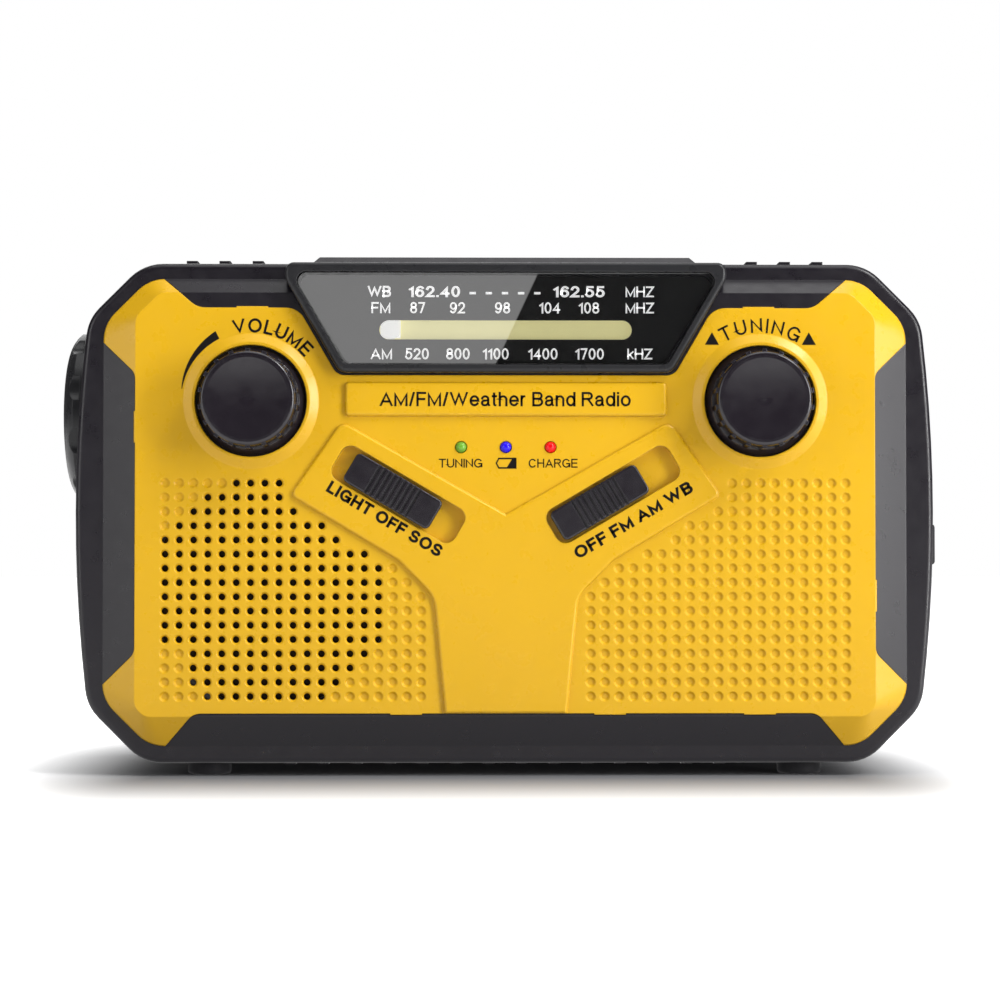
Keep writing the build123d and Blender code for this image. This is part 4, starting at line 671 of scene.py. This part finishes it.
def dial_printing():
    target = bmesh.new()
    for z, unit, weight, words in DIAL_ROWS:
        for word, x in words.items():
            width = CHANNEL_WIDTH if "." in word else None
            print_text(target, word, x, z, DIAL_CAP, DIAL_PLATE_OUT, 0, weight, width)
        print_text(target, unit, UNIT_X, z, UNIT_CAP, DIAL_PLATE_OUT)
    for index in range(DASHES):
        dash = bar(DASH_WIDTH, DASH_HEIGHT)
        flat_shape(target, dash, DASH_START + DASH_PITCH * index, DASH_Z, DIAL_PLATE_OUT)
    printed("dial_printing", target, INK_WHITE)


# ---------------------------------------------------------------- stage
# In metres and watts
WORLD_LIGHT, WORLD_REFLECTED = 0.24, 0.06
FLOOR_WIDTH = 12.0
FLOOR_SHADE_HALF = (0.066, 0.026)          # the darkest part of the painted shadow on the floor, under the radio
FLOOR_SHADE_REACH = (0.035, 0.075)         # how far the shade reaches beyond it
# Floor colours in the painted shadow and away from it
FLOOR_SHADOW_COLOUR, FLOOR_PALE = srgb(120, 120, 122), srgb(230, 230, 230)
FLOOR_REFLECTED = 0.6
LAMPS_AIM_Z = 50.0                         # millimetres
# Each lamp: its place from the point aimed at, its width and height, and its power
LAMPS = {
    "key": ((0.85, -0.6, 1.1), (0.5, 0.5), 14.0),
    "fill": ((-1.0, -0.8, 0.5), (0.9, 0.9), 2.4),
    "left_side": ((-0.66, -0.41, 0.0), (0.2, 0.7), 1.6),
    "right_side": ((0.62, -0.41, 0.0), (0.22, 0.7), 9.0),
    "top": ((0.1, -0.1, 1.2), (1.2, 1.0), 9.0),
    "back": ((-0.3, 1.2, 0.9), (1.0, 1.0), 6.0),
}


def turn_towards(thing, aim):
    """Turns a lamp or camera so that it looks at a point."""
    thing.rotation_mode = "QUATERNION"
    thing.rotation_quaternion = (aim - thing.location).to_track_quat("-Z", "Y")


def area_light(name, offset, size, power):
    middle = panel(0, LAMPS_AIM_Z)
    data = bpy.data.lights.new(name, "AREA")
    data.shape = "RECTANGLE"
    data.size, data.size_y = size
    data.energy = power
    lamp = bpy.data.objects.new(name, data)
    lamp.location = middle + Vector(offset)
    turn_towards(lamp, middle)
    bpy.context.scene.collection.objects.link(lamp)


def floor_material():
    """Pale with a soft painted shadow under the radio, white to the eye further out, and see-through from
    below.
    """
    nodes = Nodes("floor")
    place = nodes.add("ShaderNodeSeparateXYZ", Vector=nodes.place)
    squares = []
    for axis, half_size, reach in zip("XY", FLOOR_SHADE_HALF, FLOOR_SHADE_REACH):
        outside = nodes.math("SUBTRACT", nodes.math("ABSOLUTE", place.outputs[axis]), half_size)
        outside = nodes.math("DIVIDE", nodes.math("MAXIMUM", outside, 0.0), reach)
        squares.append(nodes.math("MULTIPLY", outside, outside))
    distance = nodes.math("SQRT", nodes.math("ADD", *squares))
    # Painted shadow: the floor darkens towards the radio, and its glow to the eye fades out there.
    shadow_fade = nodes.spread(distance, 0.0, 1.0, 0.0, 1.0)
    pale = nodes.mix(shadow_fade, FLOOR_SHADOW_COLOUR, FLOOR_PALE)
    pale = nodes.mix(nodes.noise(120, 2), pale, nodes.mix(0.03, pale, (0, 0, 0, 1)))
    path = nodes.add("ShaderNodeLightPath")
    seen = nodes.math("MULTIPLY", path.outputs["Is Camera Ray"], nodes.math("MULTIPLY", shadow_fade, shadow_fade))
    mirrored = nodes.math("MULTIPLY", path.outputs["Is Glossy Ray"], FLOOR_REFLECTED)
    top = nodes.add(
        "ShaderNodeBsdfPrincipled", Base_Color=pale, Roughness=0.8, Specular_IOR_Level=0.1,
        Emission_Color=WHITE, Emission_Strength=nodes.math("ADD", seen, mirrored),
    ).outputs[0]
    below = nodes.add("ShaderNodeNewGeometry").outputs["Backfacing"]
    through = nodes.add("ShaderNodeBsdfTransparent").outputs[0]
    return nodes.finish(nodes.shader_mix(below, top, through))


def floor():
    shape = bmesh.new()
    shape.faces.new([shape.verts.new((x, y, 0)) for x, y in bar(FLOOR_WIDTH, FLOOR_WIDTH)])
    mesh = bpy.data.meshes.new("floor")
    shape.to_mesh(mesh)
    shape.free()
    mesh.materials.append(floor_material())
    ground = bpy.data.objects.new("floor", mesh)
    bpy.context.scene.collection.objects.link(ground)


def world():
    """White surroundings for the eye, softer ones for light and dark ones for reflections."""
    surroundings = bpy.data.worlds.new("surroundings")
    surroundings.use_nodes = True
    tree = surroundings.node_tree
    tree.nodes.clear()
    output = tree.nodes.new("ShaderNodeOutputWorld")
    background = tree.nodes.new("ShaderNodeBackground")
    background.inputs["Color"].default_value = WHITE
    path = tree.nodes.new("ShaderNodeLightPath")
    strength = None
    for ray, level in (("Is Glossy Ray", WORLD_REFLECTED), ("Is Camera Ray", 1.0)):
        chooser = tree.nodes.new("ShaderNodeMix")
        if strength is None:
            chooser.inputs[2].default_value = WORLD_LIGHT
        else:
            tree.links.new(strength, chooser.inputs[2])
        chooser.inputs[3].default_value = level
        tree.links.new(path.outputs[ray], chooser.inputs[0])
        strength = chooser.outputs[0]
    tree.links.new(strength, background.inputs["Strength"])
    tree.links.new(background.outputs[0], output.inputs["Surface"])
    bpy.context.scene.world = surroundings


def camera():
    data = bpy.data.cameras.new("camera")
    data.sensor_width = SENSOR_WIDTH
    data.lens = SENSOR_WIDTH * CAMERA_DISTANCE / SEEN_WIDTH
    eye = bpy.data.objects.new("camera", data)
    eye.location = panel(CAMERA_X, CAMERA_Z, CAMERA_DISTANCE)
    turn_towards(eye, panel(AIM_X, AIM_Z))
    bpy.context.scene.collection.objects.link(eye)
    bpy.context.scene.camera = eye


def studio():
    floor()
    world()
    for name, (offset, size, power) in LAMPS.items():
        area_light(name, offset, size, power)
    camera()
    bpy.context.scene.view_settings.view_transform = "Standard"


dress_frame()
cover_printing()
dial_printing()
studio()
